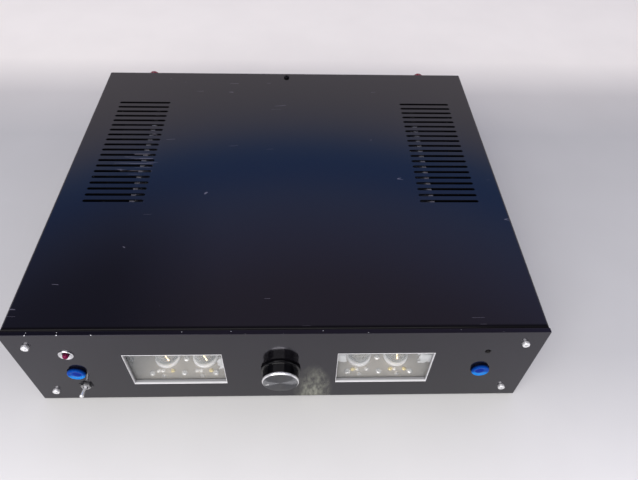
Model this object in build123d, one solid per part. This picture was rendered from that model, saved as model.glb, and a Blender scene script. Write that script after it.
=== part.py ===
from build123d import *
import math
import os

# Hybrid stereo amplifier: valve input stage behind two windows, transistor output stage.
# Lengths are in millimetres. X runs to the right, Y to the back, Z up.
# Each function builds its piece with y = 0 on the panel's face and z = 0 on the table.
# write() then moves it, so that the origin is the middle of the footprint.
# Round pieces are drawn with flats, few on threads and many on the knob. Only the bores and
# sleeves that take a plug stay true circles.

# Case
CASE_WIDTH = 430.0
CASE_DEPTH = 373.0
CASE_HEIGHT = 107.0
PANEL_THICK = 4.0
PANEL_LIFT = 1.5
SHEET = 1.5
BEND = 2.0
FIT = 0.3
SNUG = 0.1
PANEL_GAP = 0.4
COVER_LIP = 8.0
COVER_LIFT = 3.0
TRAY_FLANGE = 18.0
REAR_FLANGE = 14.0
REAR_INSET = 0.5
FOOT_HEIGHT = 6.0
FOOT_WIDTH = 18.0
FOOT_SLOPE = 10.0
FOOT_X = 180.0
FOOT_FRONT_Y = 32.0
FOOT_REAR_Y = 340.0

# Vents in the cover
VENT_COUNT = 20
VENT_PITCH = 8.5
VENT_WIDTH = 3.4
VENT_LENGTH = 57.5
VENT_X = 160.8
VENT_Y = 228.9

# Screws
THREAD_FLATS = 8
HEAD_FLATS = 12
ROUND_FLATS = 16
RIM_FLATS = 28
KNOB_FLATS = 48
HEX_FLATS = 6
SCREW_R = 2.0
SCREW_HEAD_R = 3.6
SCREW_HEAD = 2.2
SCREW_LENGTH = 8.0
REAR_SCREW_X = 100.0
PANEL_SCREW_INSET = 16.0
PANEL_SCREW_R = 1.5
PANEL_SCREW_HEAD_R = 3.1
PANEL_SCREW_HEAD = 2.7
PANEL_SCREW_LENGTH = 10.0
HEX_KEY = 2.5
HEX_DEPTH = 1.3
SIDE_SCREW_R = 1.5
SIDE_SCREW_HEAD_R = 3.0
SIDE_SCREW_RISE = 17.0
SIDE_SCREW_FRONT_Y = 62.0
SIDE_SCREW_REAR_Y = 322.0
SIDE_SCREW_LENGTH = 7.0
TOP_SCREW_Y = 364.8
TOP_SCREW_HEAD_R = 3.2
TOP_SCREW_HEAD = 1.9
TOP_SCREW_LENGTH = 6.0

# Windows and panes
WINDOW_X = 88.0
WINDOW_WIDTH = 80.0
WINDOW_HEIGHT = 48.0
WINDOW_RISE = 26.0
PANE_BORDER = 6.0
PANE_THICK = 2.0

# Volume control, on the panel's middle line
KNOB_RISE = 50.0
KNOB_R = 15.15
KNOB_REACH = 13.0
KNOB_GAP = 0.8
KNOB_SKIRT_R = 16.8
KNOB_SKIRT = 1.6
KNOB_SKIRT_SLOPE = 0.8
KNOB_CAP_R = 15.5
KNOB_CAP = 2.2
KNOB_CAP_BEVEL = 0.9
MARK_LENGTH = 4.4
MARK_WIDTH = 0.9
MARK_DEPTH = 0.35
MARK_ANGLE = 194.7
SHAFT_R = 3.0
SHAFT_RUNNING = 0.05
SHAFT_IN_KNOB = 7.0
POT_R = 12.0
POT_DEPTH = 12.0
POT_BACK = 2.0
POT_BUSHING_R = 4.5
POT_BUSHING = 5.0
POT_HOLE_R = 8.0
POT_NUT_FLATS = 12.0
POT_NUT = 2.2
LUG_WIDTH = 2.0
LUG_THICK = 0.8
LUG_LENGTH = 5.0
LUG_PITCH = 5.0

# Lamp, buttons, sensor and toggle beside the windows
CONTROL_X = 171.7
CONTROL_CUT_WIDTH = 34.0
CONTROL_CUT_LOW = 18.0
CONTROL_CUT_HIGH = 86.0
LAMP_RISE = 76.8
BEZEL_R = 6.15
BEZEL_LIP = 1.2
BEZEL_BARREL_R = 4.0
BEZEL_LENGTH = 7.0
REFLECTOR_R = 5.3
REFLECTOR_FLOOR_R = 3.2
LAMP_R = 2.5
LAMP_NOSE_R = 1.3
LAMP_REACH = 2.6
LAMP_NOSE = 1.6
LAMP_BACK = 8.0
BUTTON_RISE = 48.0
BUTTON_R = 7.6
BUTTON_REACH = 3.2
BUTTON_BEVEL = 0.9
BUTTON_TRAVEL = 1.5
BUTTON_FLANGE_WIDTH = 18.0
BUTTON_FLANGE = 1.2
BUTTON_STEM_WIDTH = 4.0
BUTTON_STEM = 6.5
SWITCH_SIZE = 12.0
SWITCH_DEPTH = 7.0
SWITCH_GAP = 2.2
SWITCH_BOARD_WIDTH = 33.0
SWITCH_BOARD_HEIGHT = 16.0
SWITCH_SPACER_X = 13.0
SENSOR_RISE = 76.5
SENSOR_R = 2.2
SENSOR_REACH = 0.7
SENSOR_WIDTH = 7.0
SENSOR_DEPTH = 4.0
TOGGLE_X = 170.3
TOGGLE_RISE = 25.5
TOGGLE_ROLL = 37.0
TOGGLE_TILT = 13.0
TOGGLE_PIVOT_Y = 1.0
TOGGLE_BUSHING_R = 3.0
TOGGLE_BUSHING_OUT = 3.0
TOGGLE_MOUTH_R = 2.5
TOGGLE_NECK_R = 1.8
TOGGLE_BALL_R = 1.7
TOGGLE_BALL_LENGTH = 1.2
TOGGLE_ROOT_R = 1.0
TOGGLE_TIP_R = 1.75
TOGGLE_TIP = 0.9
TOGGLE_LEVER = 11.6
TOGGLE_BODY_WIDTH = 13.0
TOGGLE_BODY_HEIGHT = 8.0
TOGGLE_BODY_DEPTH = 10.0
TOGGLE_LUG_PITCH = 4.5
TOGGLE_NUT_FLATS = 8.0
TOGGLE_NUT = 1.7
TOGGLE_WASHER_R = 6.0
TOGGLE_WASHER_ROOT_R = 4.9
TOGGLE_WASHER = 0.6
TOGGLE_WASHER_TEETH = 10

# Valves on their shelf
SHELF_TOP = 21.0
SHELF_GAP = 2.3
SHELF_HALF = 136.0
SHELF_BACK = 56.0
SHELF_FOOT = 10.0
SHELF_SCREW_X = 28.6
SHELF_SCREW_Y = 13.5
SHELF_SCREW_MID_Y = 28.0
SHELF_SCREW_HEAD_R = 2.7
SHELF_SCREW_HEAD = 1.8
SHELF_SCREW_R = 1.5
SHELF_SCREW_LENGTH = 5.0
TUBE_SPACING = 34.5
TUBE_Y = 29.5
TUBE_R = 10.8
TUBE_HEIGHT = 49.0
TUBE_WALL = 0.9
TUBE_SHOULDER = 4.0
SOCKET_R = 11.4
SOCKET_RISE = 3.2
SOCKET_BODY_R = 9.0
ANODE_LENGTH = 15.0
ANODE_WIDTH = 6.0
ANODE_CORNER = 2.0
ANODE_HEIGHT = 22.0
ANODE_RISE = 10.0
MICA_R = 9.0
MICA_THICK = 0.5
HEATER_WIDTH = 1.0
HEATER_OFFSET = 4.2
TAG_WIDTH = 2.0
TAG_HEIGHT = 2.4
TAG_SPOTS = ((-6.3, 16.0), (-2.2, 16.0), (-0.8, 11.2), (6.6, 16.0))
VALVE_BOARD_GAP = 6.0
VALVE_BOARD_Y = 9.0
VALVE_BOARD_LENGTH = 42.0

# Output stage, supply and boards
BOARD = 1.6
BOARD_LIFT = 7.5
BOARD_INSET = 6.0
SPACER_FLATS = 5.5
SINK_X = 145.3
SINK_BASE = 4.7
SINK_FIN = 30.0
SINK_FIN_THICK = 1.8
SINK_FIN_PITCH = 9.0
SINK_FIN_COUNT = 20
SINK_HEIGHT = 89.0
SINK_Y = 195.0
SINK_SCREW_INSET = 13.5
TRANSISTOR_WIDTH = 15.6
TRANSISTOR_HEIGHT = 20.0
TRANSISTOR_THICK = 5.0
TRANSISTOR_RISE = 8.0
TRANSISTOR_PITCH = 60.0
LEAD_PITCH = 5.4
LEAD_WIDTH = 1.2
LEAD_THICK = 0.8
AMP_BOARD_WIDTH = 70.0
AMP_BOARD_LENGTH = 160.0
RELAY_WIDTH = 29.0
RELAY_LENGTH = 13.0
RELAY_HEIGHT = 16.0
COOLER_PITCH = 26.0
COOLER_WIDTH = 18.0
COOLER_THICK = 5.0
COOLER_HEIGHT = 18.0
POWER_BOARD_WIDTH = 110.0
POWER_BOARD_LENGTH = 110.0
POWER_BOARD_Y = 140.0
BRIDGE_WIDTH = 28.0
BRIDGE_THICK = 6.0
BRIDGE_HEIGHT = 20.0
FUSE_X = 32.0
FUSE_LENGTH = 22.0
FUSE_WIDTH = 9.0
FUSE_HEIGHT = 10.0
CAPACITOR_R = 15.0
CAPACITOR_HEIGHT = 50.0
CAPACITOR_SPACING = 44.0
CAPACITOR_Y = 126.0
CORE_WIDTH = 96.0
CORE_DEPTH = 45.0
CORE_HEIGHT = 80.0
CORE_LEG = 32.0
CORE_Y = 285.0
WINDING_WIDTH = 64.0
WINDING_DEPTH = 73.0
WINDING_HEIGHT = 48.0
STRAP_FOOT = 14.0

# Back panel
POST_X = 169.0
POST_RED_Z = 88.5
POST_PITCH = 22.0
POST_REACH = 25.0
POST_CAP_R = 6.5
POST_CAP_LENGTH = 21.5
POST_GROOVES = 12
POST_GROOVE = 0.7
POST_STUD_R = 3.0
POST_RUNNING = 0.06
POST_BORE_R = 2.05
POST_BORE = 18.0
POST_INSIDE = 14.0
POST_NUT_FLATS = 8.0
POST_NUT = 3.0
POST_PLATE_WIDTH = 20.0
POST_PLATE_HEIGHT = 44.0
POST_CUT_WIDTH = 14.0
POST_CUT_HEIGHT = 36.0
RCA_X = 70.0
RCA_Z = 70.0
RCA_PITCH = 24.0
RCA_R = 4.15
RCA_THREAD_R = 3.8
RCA_LENGTH = 9.5
RCA_CORE_R = 3.2
RCA_CORE_INSET = 0.5
RCA_BORE_R = 1.7
RCA_BORE = 8.0
RCA_INSIDE = 10.0
RCA_PLATE = 2.0
RCA_PLATE_WIDTH = 46.0
RCA_PLATE_HEIGHT = 18.0
RCA_CUT_MARGIN = 3.0
INLET_X = -95.0
INLET_Z = 42.0
INLET_WIDTH = 27.0
INLET_HEIGHT = 19.5
INLET_WALL = 1.5
INLET_DEPTH = 17.0
INLET_FLANGE_WIDTH = 50.0
INLET_FLANGE_HEIGHT = 24.0
INLET_FLANGE = 2.0
INLET_PIN_WIDTH = 2.0
INLET_PIN_HEIGHT = 4.0
INLET_PIN_LENGTH = 11.0
INLET_PIN_SPACING = 7.0
INLET_PIN_RISE = 2.0

# Levels and planes that follow from the values above
HALF_WIDTH = CASE_WIDTH / 2
FLOOR_TOP = FOOT_HEIGHT + SHEET
COVER_IN_Z = CASE_HEIGHT - SHEET
COVER_FRONT = PANEL_THICK + PANEL_GAP
TRAY_HALF = HALF_WIDTH - SHEET - FIT
WALL_BACK = PANEL_THICK + SHEET
WALL_TOP = CASE_HEIGHT - COVER_LIP - FIT
REAR_OUT = CASE_DEPTH - REAR_INSET
REAR_IN = REAR_OUT - SHEET
KNOB_Z = PANEL_LIFT + KNOB_RISE
LAMP_Z = PANEL_LIFT + LAMP_RISE
BUTTON_Z = PANEL_LIFT + BUTTON_RISE
SENSOR_Z = PANEL_LIFT + SENSOR_RISE
TOGGLE_Z = PANEL_LIFT + TOGGLE_RISE
WINDOW_Z = PANEL_LIFT + WINDOW_RISE + WINDOW_HEIGHT / 2
FLANGE_Y = PANEL_THICK + FIT
SWITCH_Y = FLANGE_Y + BUTTON_FLANGE + BUTTON_TRAVEL + SWITCH_GAP
SHELF_FRONT = PANEL_THICK + PANE_THICK + SHELF_GAP
SHELF_Z = SHELF_TOP - SHEET
SOCKET_Z = SHELF_TOP + SOCKET_RISE
ANODE_Z = SOCKET_Z + ANODE_RISE
BOARD_Z = FLOOR_TOP + BOARD_LIFT
SHAFT_END = WALL_BACK + POT_DEPTH - POT_BACK
POST_END = CASE_DEPTH + POST_REACH
INLET_END = REAR_OUT + INLET_FLANGE
RCA_END = REAR_OUT + RCA_PLATE + RCA_LENGTH
FACE_Y = KNOB_REACH - (KNOB_REACH + POST_END) / 2
TO_FLATS = math.cos(math.pi / HEAD_FLATS)
SIDES = (-1, 1)
TUBE_X = [side * WINDOW_X + step * TUBE_SPACING / 2 for side in SIDES for step in SIDES]
RCA_PLACES = (RCA_X - RCA_PITCH / 2, RCA_X + RCA_PITCH / 2)


def block(x0, x1, y0, y1, z0, z1):
    """Box between two corners."""
    box = Box(abs(x1 - x0), abs(y1 - y0), abs(z1 - z0))
    return Pos((x0 + x1) / 2, (y0 + y1) / 2, (z0 + z1) / 2) * box


def block_at(x, z, width, height, y0, y1):
    """Box of a given width and height round a line along Y."""
    return block(x - width / 2, x + width / 2, y0, y1, z - height / 2, z + height / 2)


def rod_y(x, z, y0, y1, radius):
    """Cylinder along Y."""
    return Pos(x, (y0 + y1) / 2, z) * Rot(90, 0, 0) * Cylinder(radius, y1 - y0)


def flats_round(radius, flats=THREAD_FLATS):
    """Regular outline with a radius measured to its flats."""
    return RegularPolygon(radius, flats, major_radius=False)


def prism_y(x, z, y0, y1, radius, flats=THREAD_FLATS):
    """Prism along Y."""
    start = Plane(origin=(x, y0, z), x_dir=(1, 0, 0), z_dir=(0, 1, 0))
    return extrude(start * flats_round(radius, flats), y1 - y0)


def ring_y(x, z, y, radius, flats):
    """Corners of a regular outline across Y, with its radius measured to the flats."""
    corner = radius / math.cos(math.pi / flats)
    turns = [2 * math.pi * i / flats for i in range(flats)]
    return [Vector(x + corner * math.cos(turn), y, z + corner * math.sin(turn)) for turn in turns]


def stepped_y(x, z, points, flats=HEAD_FLATS):
    """Round piece with flats along Y through the (y, radius) of its sections, sewn from plane faces."""
    rings = [ring_y(x, z, y, radius, flats) for y, radius in points]
    outlines = [rings[0], rings[-1]]
    for near, far in zip(rings, rings[1:]):
        outlines += [[near[i - 1], near[i], far[i], far[i - 1]] for i in range(flats)]
    return Solid(Shell([Face(Wire.make_polygon(outline)) for outline in outlines]))


def prism_z(x, y, z0, z1, radius, flats=THREAD_FLATS):
    """Upright prism."""
    return extrude(Plane.XY.offset(z0) * Pos(x, y) * flats_round(radius, flats), z1 - z0)


def upright_holes(places, z0, z1, radius):
    """Cutters for upright screw holes that reach past both levels."""
    return [prism_z(x, y, z0 - 1, z1 + 1, radius) for x, y in places]


def window_block(side, border, y0, y1):
    """Block as large as a window and its border."""
    return block_at(side * WINDOW_X, WINDOW_Z, WINDOW_WIDTH + 2 * border, WINDOW_HEIGHT + 2 * border, y0, y1)


def panel_screw_places():
    """Middle of each panel screw, as (x, z)."""
    x = HALF_WIDTH - PANEL_SCREW_INSET
    low = PANEL_LIFT + PANEL_SCREW_INSET
    return [(side * x, z) for side in SIDES for z in (low, CASE_HEIGHT - PANEL_SCREW_INSET)]


def front_panel():
    """Thick lacquered plate with two windows and the holes of the controls."""
    back = PANEL_THICK + 1
    plate = block(-HALF_WIDTH, HALF_WIDTH, 0, PANEL_THICK, PANEL_LIFT, CASE_HEIGHT)
    plate -= [window_block(side, 0, -1, back) for side in SIDES]
    plate -= [prism_y(side * CONTROL_X, BUTTON_Z, -1, back, BUTTON_R + FIT, RIM_FLATS) for side in SIDES]
    plate -= prism_y(0, KNOB_Z, -1, back, POT_HOLE_R)
    plate -= prism_y(-CONTROL_X, LAMP_Z, -1, back, BEZEL_BARREL_R + SNUG)
    plate -= prism_y(CONTROL_X, SENSOR_Z, -1, back, SENSOR_R + SNUG)
    plate -= in_toggle(prism_y(0, 0, -1, back, TOGGLE_BUSHING_R + SNUG))
    plate -= [prism_y(x, z, -1, back, PANEL_SCREW_R + SNUG) for x, z in panel_screw_places()]
    return plate


def panel_screws():
    """Four screws with round heads and six-sided sockets."""
    screws = []
    for x, z in panel_screw_places():
        screw = prism_y(x, z, -PANEL_SCREW_HEAD, 0, PANEL_SCREW_HEAD_R, HEAD_FLATS)
        screw -= prism_y(x, z, -PANEL_SCREW_HEAD - 1, HEX_DEPTH - PANEL_SCREW_HEAD, HEX_KEY / 2, HEX_FLATS)
        screws.append(screw + prism_y(x, z, 0, PANEL_SCREW_LENGTH, PANEL_SCREW_R))
    return screws


def sink_screw_places():
    """Middle of each screw in the heat sinks' bases, as (x, y)."""
    x = SINK_X + SINK_BASE / 2
    reach = SINK_FIN_PITCH * SINK_FIN_COUNT / 2 - SINK_SCREW_INSET
    return [(side * x, SINK_Y + end * reach) for side in SIDES for end in SIDES]


def shelf_foot_places():
    """Middle of each screw in the shelf's feet, as (x, y)."""
    return [(side * (SHELF_HALF + SHELF_FOOT / 2), (SHELF_FRONT + SHELF_BACK) / 2) for side in SIDES]


def strap_foot_places():
    """Middle of each screw in the feet of the transformer's strap, as (x, y)."""
    return [(side * (CORE_WIDTH / 2 + SHEET + STRAP_FOOT / 2), CORE_Y) for side in SIDES]


def rear_flange_places():
    """Middle of each screw in the back panel's lower flange, as (x, y)."""
    return [(side * REAR_SCREW_X, REAR_IN - REAR_FLANGE / 2) for side in SIDES]


def floor_screw_places():
    """Middle of every screw that comes up through the floor."""
    return sink_screw_places() + shelf_foot_places() + strap_foot_places() + rear_flange_places()


def side_screws():
    """The four side screws, each a countersunk head and a shank, as pieces and as cutters."""
    slope = math.degrees(math.atan2(SIDE_SCREW_HEAD_R - SIDE_SCREW_R, SHEET))
    shapes = []
    for side in SIDES:
        for y in (SIDE_SCREW_FRONT_Y, SIDE_SCREW_REAR_Y):
            place = (side * HALF_WIDTH, y, SIDE_SCREW_RISE)
            start = Plane(origin=place, x_dir=(0, 1, 0), z_dir=(-side, 0, 0))
            head = extrude(start * flats_round(SIDE_SCREW_HEAD_R), SHEET, taper=slope)
            shapes.append(head + extrude(start * flats_round(SIDE_SCREW_R), SIDE_SCREW_LENGTH))
    return shapes


def chassis_tray():
    """Folded tray: floor, front wall behind the panel, and two low side flanges."""
    tray = block(-TRAY_HALF, TRAY_HALF, PANEL_THICK, REAR_IN, FOOT_HEIGHT, FLOOR_TOP)
    tray += block(-TRAY_HALF, TRAY_HALF, PANEL_THICK, WALL_BACK, FOOT_HEIGHT, WALL_TOP)
    for side in SIDES:
        inside = side * (TRAY_HALF - SHEET)
        top = FOOT_HEIGHT + TRAY_FLANGE
        tray += block(inside, side * TRAY_HALF, PANEL_THICK, REAR_IN, FOOT_HEIGHT, top)
        middle = side * CONTROL_X
        half = CONTROL_CUT_WIDTH / 2
        tray -= window_block(side, PANE_BORDER + FIT, 0, WALL_BACK + 1)
        tray -= block(middle - half, middle + half, 0, WALL_BACK + 1, CONTROL_CUT_LOW, CONTROL_CUT_HIGH)
    tray -= prism_y(0, KNOB_Z, 0, WALL_BACK + 1, POT_BUSHING_R + SNUG)
    tray -= [prism_y(x, z, 0, WALL_BACK + 1, PANEL_SCREW_R) for x, z in panel_screw_places()]
    tray -= upright_holes(floor_screw_places(), FOOT_HEIGHT, FLOOR_TOP, SCREW_R + SNUG)
    return tray - side_screws()


def vent_slot(x, y):
    """Cutter for one slot, each end rounded by three flats."""
    half = VENT_WIDTH / 2
    reach = VENT_LENGTH / 2 - half
    corners = []
    for side in SIDES:
        for angle in (-90, -30, 30, 90):
            turn = math.radians(angle)
            corners.append((x + side * (reach + half * math.cos(turn)), y + side * half * math.sin(turn)))
    outline = Plane.XY.offset(COVER_IN_Z - 1) * make_face(Polyline(corners, close=True))
    return extrude(outline, SHEET + 2)


def top_cover():
    """Folded cover: vented top, two sides and a lip behind the panel."""
    outside = block(-HALF_WIDTH, HALF_WIDTH, COVER_FRONT, CASE_DEPTH, COVER_LIFT, CASE_HEIGHT)
    long_edges = outside.edges().filter_by(Axis.Y).group_by(Axis.Z)[-1]
    front_edge = outside.edges().filter_by(Axis.X).group_by(Axis.Z)[-1].sort_by(Axis.Y)[0]
    outside = fillet(long_edges + [front_edge], BEND)
    half_in = HALF_WIDTH - SHEET
    cover = outside - block(-half_in, half_in, COVER_FRONT + SHEET, CASE_DEPTH + 1, 0, COVER_IN_Z)
    cover -= block(-half_in, half_in, 0, COVER_FRONT + SHEET + 1, 0, CASE_HEIGHT - COVER_LIP)
    first = VENT_Y - VENT_PITCH * (VENT_COUNT - 1) / 2
    for side in SIDES:
        cover -= [vent_slot(side * VENT_X, first + VENT_PITCH * i) for i in range(VENT_COUNT)]
    cover -= upright_holes([(0, TOP_SCREW_Y)], COVER_IN_Z, CASE_HEIGHT, SIDE_SCREW_R + SNUG)
    return cover - side_screws()


def cover_rear_screw():
    """Round screw through the cover's top into the back panel's flange."""
    top = CASE_HEIGHT + TOP_SCREW_HEAD
    head = prism_z(0, TOP_SCREW_Y, CASE_HEIGHT, top, TOP_SCREW_HEAD_R, HEAD_FLATS)
    head -= prism_z(0, TOP_SCREW_Y, top - HEX_DEPTH, top + 1, HEX_KEY / 2, HEX_FLATS)
    return head + prism_z(0, TOP_SCREW_Y, CASE_HEIGHT - TOP_SCREW_LENGTH, CASE_HEIGHT, SIDE_SCREW_R)


def rear_panel():
    """Back panel folded forward along its top and bottom, with cut-outs for the sockets."""
    plate = block(-TRAY_HALF, TRAY_HALF, REAR_IN, REAR_OUT, FLOOR_TOP, COVER_IN_Z)
    half = TRAY_HALF - SHEET - FIT
    for low in (FLOOR_TOP, COVER_IN_Z - SHEET):
        plate += block(-half, half, REAR_IN - REAR_FLANGE, REAR_IN, low, low + SHEET)
    plate -= upright_holes([(0, TOP_SCREW_Y)], COVER_IN_Z - SHEET, COVER_IN_Z, SIDE_SCREW_R)
    plate -= upright_holes(rear_flange_places(), FLOOR_TOP, FLOOR_TOP + SHEET, SCREW_R)
    middle = POST_RED_Z - POST_PITCH / 2
    for side in SIDES:
        plate -= block_at(side * POST_X, middle, POST_CUT_WIDTH, POST_CUT_HEIGHT, REAR_IN - 1, REAR_OUT + 1)
    width = RCA_PLATE_WIDTH - 2 * RCA_CUT_MARGIN
    height = RCA_PLATE_HEIGHT - 2 * RCA_CUT_MARGIN
    plate -= block_at(RCA_X, RCA_Z, width, height, REAR_IN - 1, REAR_OUT + 1)
    plate -= block_at(INLET_X, INLET_Z, INLET_WIDTH + FIT, INLET_HEIGHT + FIT, REAR_IN - 1, REAR_OUT + 1)
    return plate


def rubber_feet():
    """Four square feet with sloping sides, glued under the floor."""
    feet = []
    for x in (-FOOT_X, FOOT_X):
        for y in (FOOT_FRONT_Y, FOOT_REAR_Y):
            top = Plane.XY.offset(FOOT_HEIGHT) * Pos(x, y) * Rectangle(FOOT_WIDTH, FOOT_WIDTH)
            feet.append(extrude(top, FOOT_HEIGHT, dir=(0, 0, -1), taper=FOOT_SLOPE))
    return feet


def floor_screws():
    """Alike screws that hold heat sinks, shelf, transformer and back panel from below."""
    screws = []
    for x, y in floor_screw_places():
        head = prism_z(x, y, FOOT_HEIGHT - SCREW_HEAD, FOOT_HEIGHT, SCREW_HEAD_R)
        screws.append(head + prism_z(x, y, FOOT_HEIGHT, FOOT_HEIGHT + SCREW_LENGTH, SCREW_R))
    return screws


def window_pane(side):
    """Clear plate behind a window, in the front wall's opening."""
    return window_block(side, PANE_BORDER, PANEL_THICK, PANEL_THICK + PANE_THICK)


def volume_knob():
    """Knob body with a wider skirt and a blind hole for the shaft."""
    back = -KNOB_GAP
    skirt = back - KNOB_SKIRT
    front = KNOB_CAP - KNOB_REACH
    points = [(front, KNOB_R), (skirt - KNOB_SKIRT_SLOPE, KNOB_R)]
    points += [(skirt, KNOB_SKIRT_R), (back, KNOB_SKIRT_R)]
    knob = stepped_y(0, KNOB_Z, points, KNOB_FLATS)
    return knob - prism_y(0, KNOB_Z, -SHAFT_IN_KNOB - KNOB_GAP, 0, SHAFT_R + SNUG)


def knob_cap():
    """Bright turned cap of the knob, with a bevelled rim and one cut mark."""
    front = -KNOB_REACH
    back = front + KNOB_CAP
    rim = KNOB_CAP_R - KNOB_CAP_BEVEL
    points = [(front, rim), (front + KNOB_CAP_BEVEL, KNOB_CAP_R), (back, KNOB_CAP_R)]
    mark = Pos(rim - MARK_LENGTH / 2, front, 0) * Box(MARK_LENGTH, 2 * MARK_DEPTH, MARK_WIDTH)
    return stepped_y(0, KNOB_Z, points, KNOB_FLATS) - Pos(0, 0, KNOB_Z) * Rot(0, -MARK_ANGLE, 0) * mark


def pot_shaft():
    """Shaft that turns in the bushing and carries the knob."""
    start = -SHAFT_IN_KNOB - KNOB_GAP
    return prism_y(0, KNOB_Z, start, SHAFT_END - FIT, SHAFT_R * TO_FLATS, HEAD_FLATS)


def volume_pot():
    """Potentiometer behind the front wall: round case, bushing and two rows of lugs."""
    pot = prism_y(0, KNOB_Z, WALL_BACK, WALL_BACK + POT_DEPTH, POT_R, HEAD_FLATS)
    pot += prism_y(0, KNOB_Z, WALL_BACK - POT_BUSHING, WALL_BACK, POT_BUSHING_R)
    for row in SIDES:
        y = WALL_BACK + POT_DEPTH / 2 + row * POT_DEPTH / 5
        for step in (-1, 0, 1):
            x = step * LUG_PITCH
            low = KNOB_Z - POT_R - LUG_LENGTH
            pot += block(x - LUG_WIDTH / 2, x + LUG_WIDTH / 2, y, y + LUG_THICK, low, KNOB_Z - POT_R / 2)
    return pot - prism_y(0, KNOB_Z, 0, SHAFT_END, SHAFT_R + SHAFT_RUNNING, HEAD_FLATS)


def pot_nut():
    """Nut that clamps the potentiometer to the wall, inside the panel's hole."""
    front = PANEL_THICK - POT_NUT
    nut = prism_y(0, KNOB_Z, front, PANEL_THICK, POT_NUT_FLATS / 2, HEX_FLATS)
    return nut - prism_y(0, KNOB_Z, front - 1, PANEL_THICK + 1, POT_BUSHING_R)


def in_toggle(piece):
    """Move a piece from the toggle's own frame to its place and roll in the panel."""
    return Pos(-TOGGLE_X, 0, TOGGLE_Z) * Rot(0, -TOGGLE_ROLL, 0) * piece


def toggle_lever():
    """Bat lever: pivot ball and a bat that swells to its tip, tilted to one side."""
    ball = TOGGLE_BALL_LENGTH
    points = [(-TOGGLE_LEVER - TOGGLE_TIP, TOGGLE_ROOT_R), (TOGGLE_TIP - TOGGLE_LEVER, TOGGLE_TIP_R)]
    points += [(-ball, TOGGLE_ROOT_R), (0, TOGGLE_BALL_R), (ball, TOGGLE_ROOT_R)]
    return in_toggle(Pos(0, TOGGLE_PIVOT_Y, 0) * Rot(0, 0, -TOGGLE_TILT) * stepped_y(0, 0, points))


def toggle_bushing():
    """Threaded bushing, waisted inside round the lever's ball."""
    front = -TOGGLE_BUSHING_OUT
    points = [(front - SNUG, TOGGLE_MOUTH_R), (TOGGLE_PIVOT_Y, TOGGLE_NECK_R)]
    points.append((FLANGE_Y + SNUG, TOGGLE_MOUTH_R))
    return in_toggle(prism_y(0, 0, front, FLANGE_Y, TOGGLE_BUSHING_R) - stepped_y(0, 0, points))


def toggle_body():
    """Switch case behind the panel, with three lugs."""
    back = FLANGE_Y + TOGGLE_BODY_DEPTH
    body = block_at(0, 0, TOGGLE_BODY_WIDTH, TOGGLE_BODY_HEIGHT, FLANGE_Y, back)
    for step in (-1, 0, 1):
        body += block_at(step * TOGGLE_LUG_PITCH, 0, LUG_THICK, LUG_WIDTH, back, back + LUG_LENGTH)
    return in_toggle(body)


def toggle_nut():
    """Nut on the toggle's bushing."""
    front = -TOGGLE_WASHER - TOGGLE_NUT
    nut = prism_y(0, 0, front, -TOGGLE_WASHER, TOGGLE_NUT_FLATS / 2, HEX_FLATS)
    return in_toggle(nut - prism_y(0, 0, front - 1, 0, TOGGLE_BUSHING_R))


def toggle_washer():
    """Toothed washer between nut and panel."""
    turn = 180 / TOGGLE_WASHER_TEETH
    points = []
    for i in range(2 * TOGGLE_WASHER_TEETH):
        radius = TOGGLE_WASHER_R if i % 2 else TOGGLE_WASHER_ROOT_R
        angle = math.radians(turn * i)
        points.append((radius * math.cos(angle), 0, radius * math.sin(angle)))
    washer = extrude(make_face(Polyline(points, close=True)), TOGGLE_WASHER, dir=(0, -1, 0))
    return in_toggle(washer - prism_y(0, 0, -TOGGLE_WASHER - 1, 1, TOGGLE_BUSHING_R))


def led_bezel():
    """Chromed bezel: a lip with a cone that reflects the lamp, and a barrel behind it."""
    points = [(-BEZEL_LIP, REFLECTOR_R + SNUG), (-BEZEL_LIP / 2, BEZEL_R), (0, BEZEL_R)]
    bezel = stepped_y(-CONTROL_X, LAMP_Z, points, RIM_FLATS)
    bezel -= stepped_y(-CONTROL_X, LAMP_Z, [(-BEZEL_LIP, REFLECTOR_R), (0, REFLECTOR_FLOOR_R)], RIM_FLATS)
    barrel = prism_y(-CONTROL_X, LAMP_Z, 0, BEZEL_LENGTH, BEZEL_BARREL_R)
    return bezel + (barrel - prism_y(-CONTROL_X, LAMP_Z, -1, BEZEL_LENGTH + 1, LAMP_R + SNUG))


def led_lens():
    """Red lamp with a bevelled nose, pushed into the bezel."""
    front = -LAMP_REACH
    points = [(front, LAMP_NOSE_R), (front + LAMP_NOSE, LAMP_R), (LAMP_BACK, LAMP_R)]
    return stepped_y(-CONTROL_X, LAMP_Z, points, ROUND_FLATS)


def button_cap(side):
    """Clear blue button: bevelled face, square flange behind the panel, stem into the switch."""
    x = side * CONTROL_X
    back = FLANGE_Y + BUTTON_FLANGE
    shoulder = BUTTON_BEVEL - BUTTON_REACH
    points = [(-BUTTON_REACH, BUTTON_R - BUTTON_BEVEL), (shoulder, BUTTON_R), (FLANGE_Y, BUTTON_R)]
    cap = stepped_y(x, BUTTON_Z, points, RIM_FLATS)
    cap += block_at(x, BUTTON_Z, BUTTON_FLANGE_WIDTH, BUTTON_FLANGE_WIDTH, FLANGE_Y, back)
    return cap + block_at(x, BUTTON_Z, BUTTON_STEM_WIDTH, BUTTON_STEM_WIDTH, back, back + BUTTON_STEM)


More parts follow.
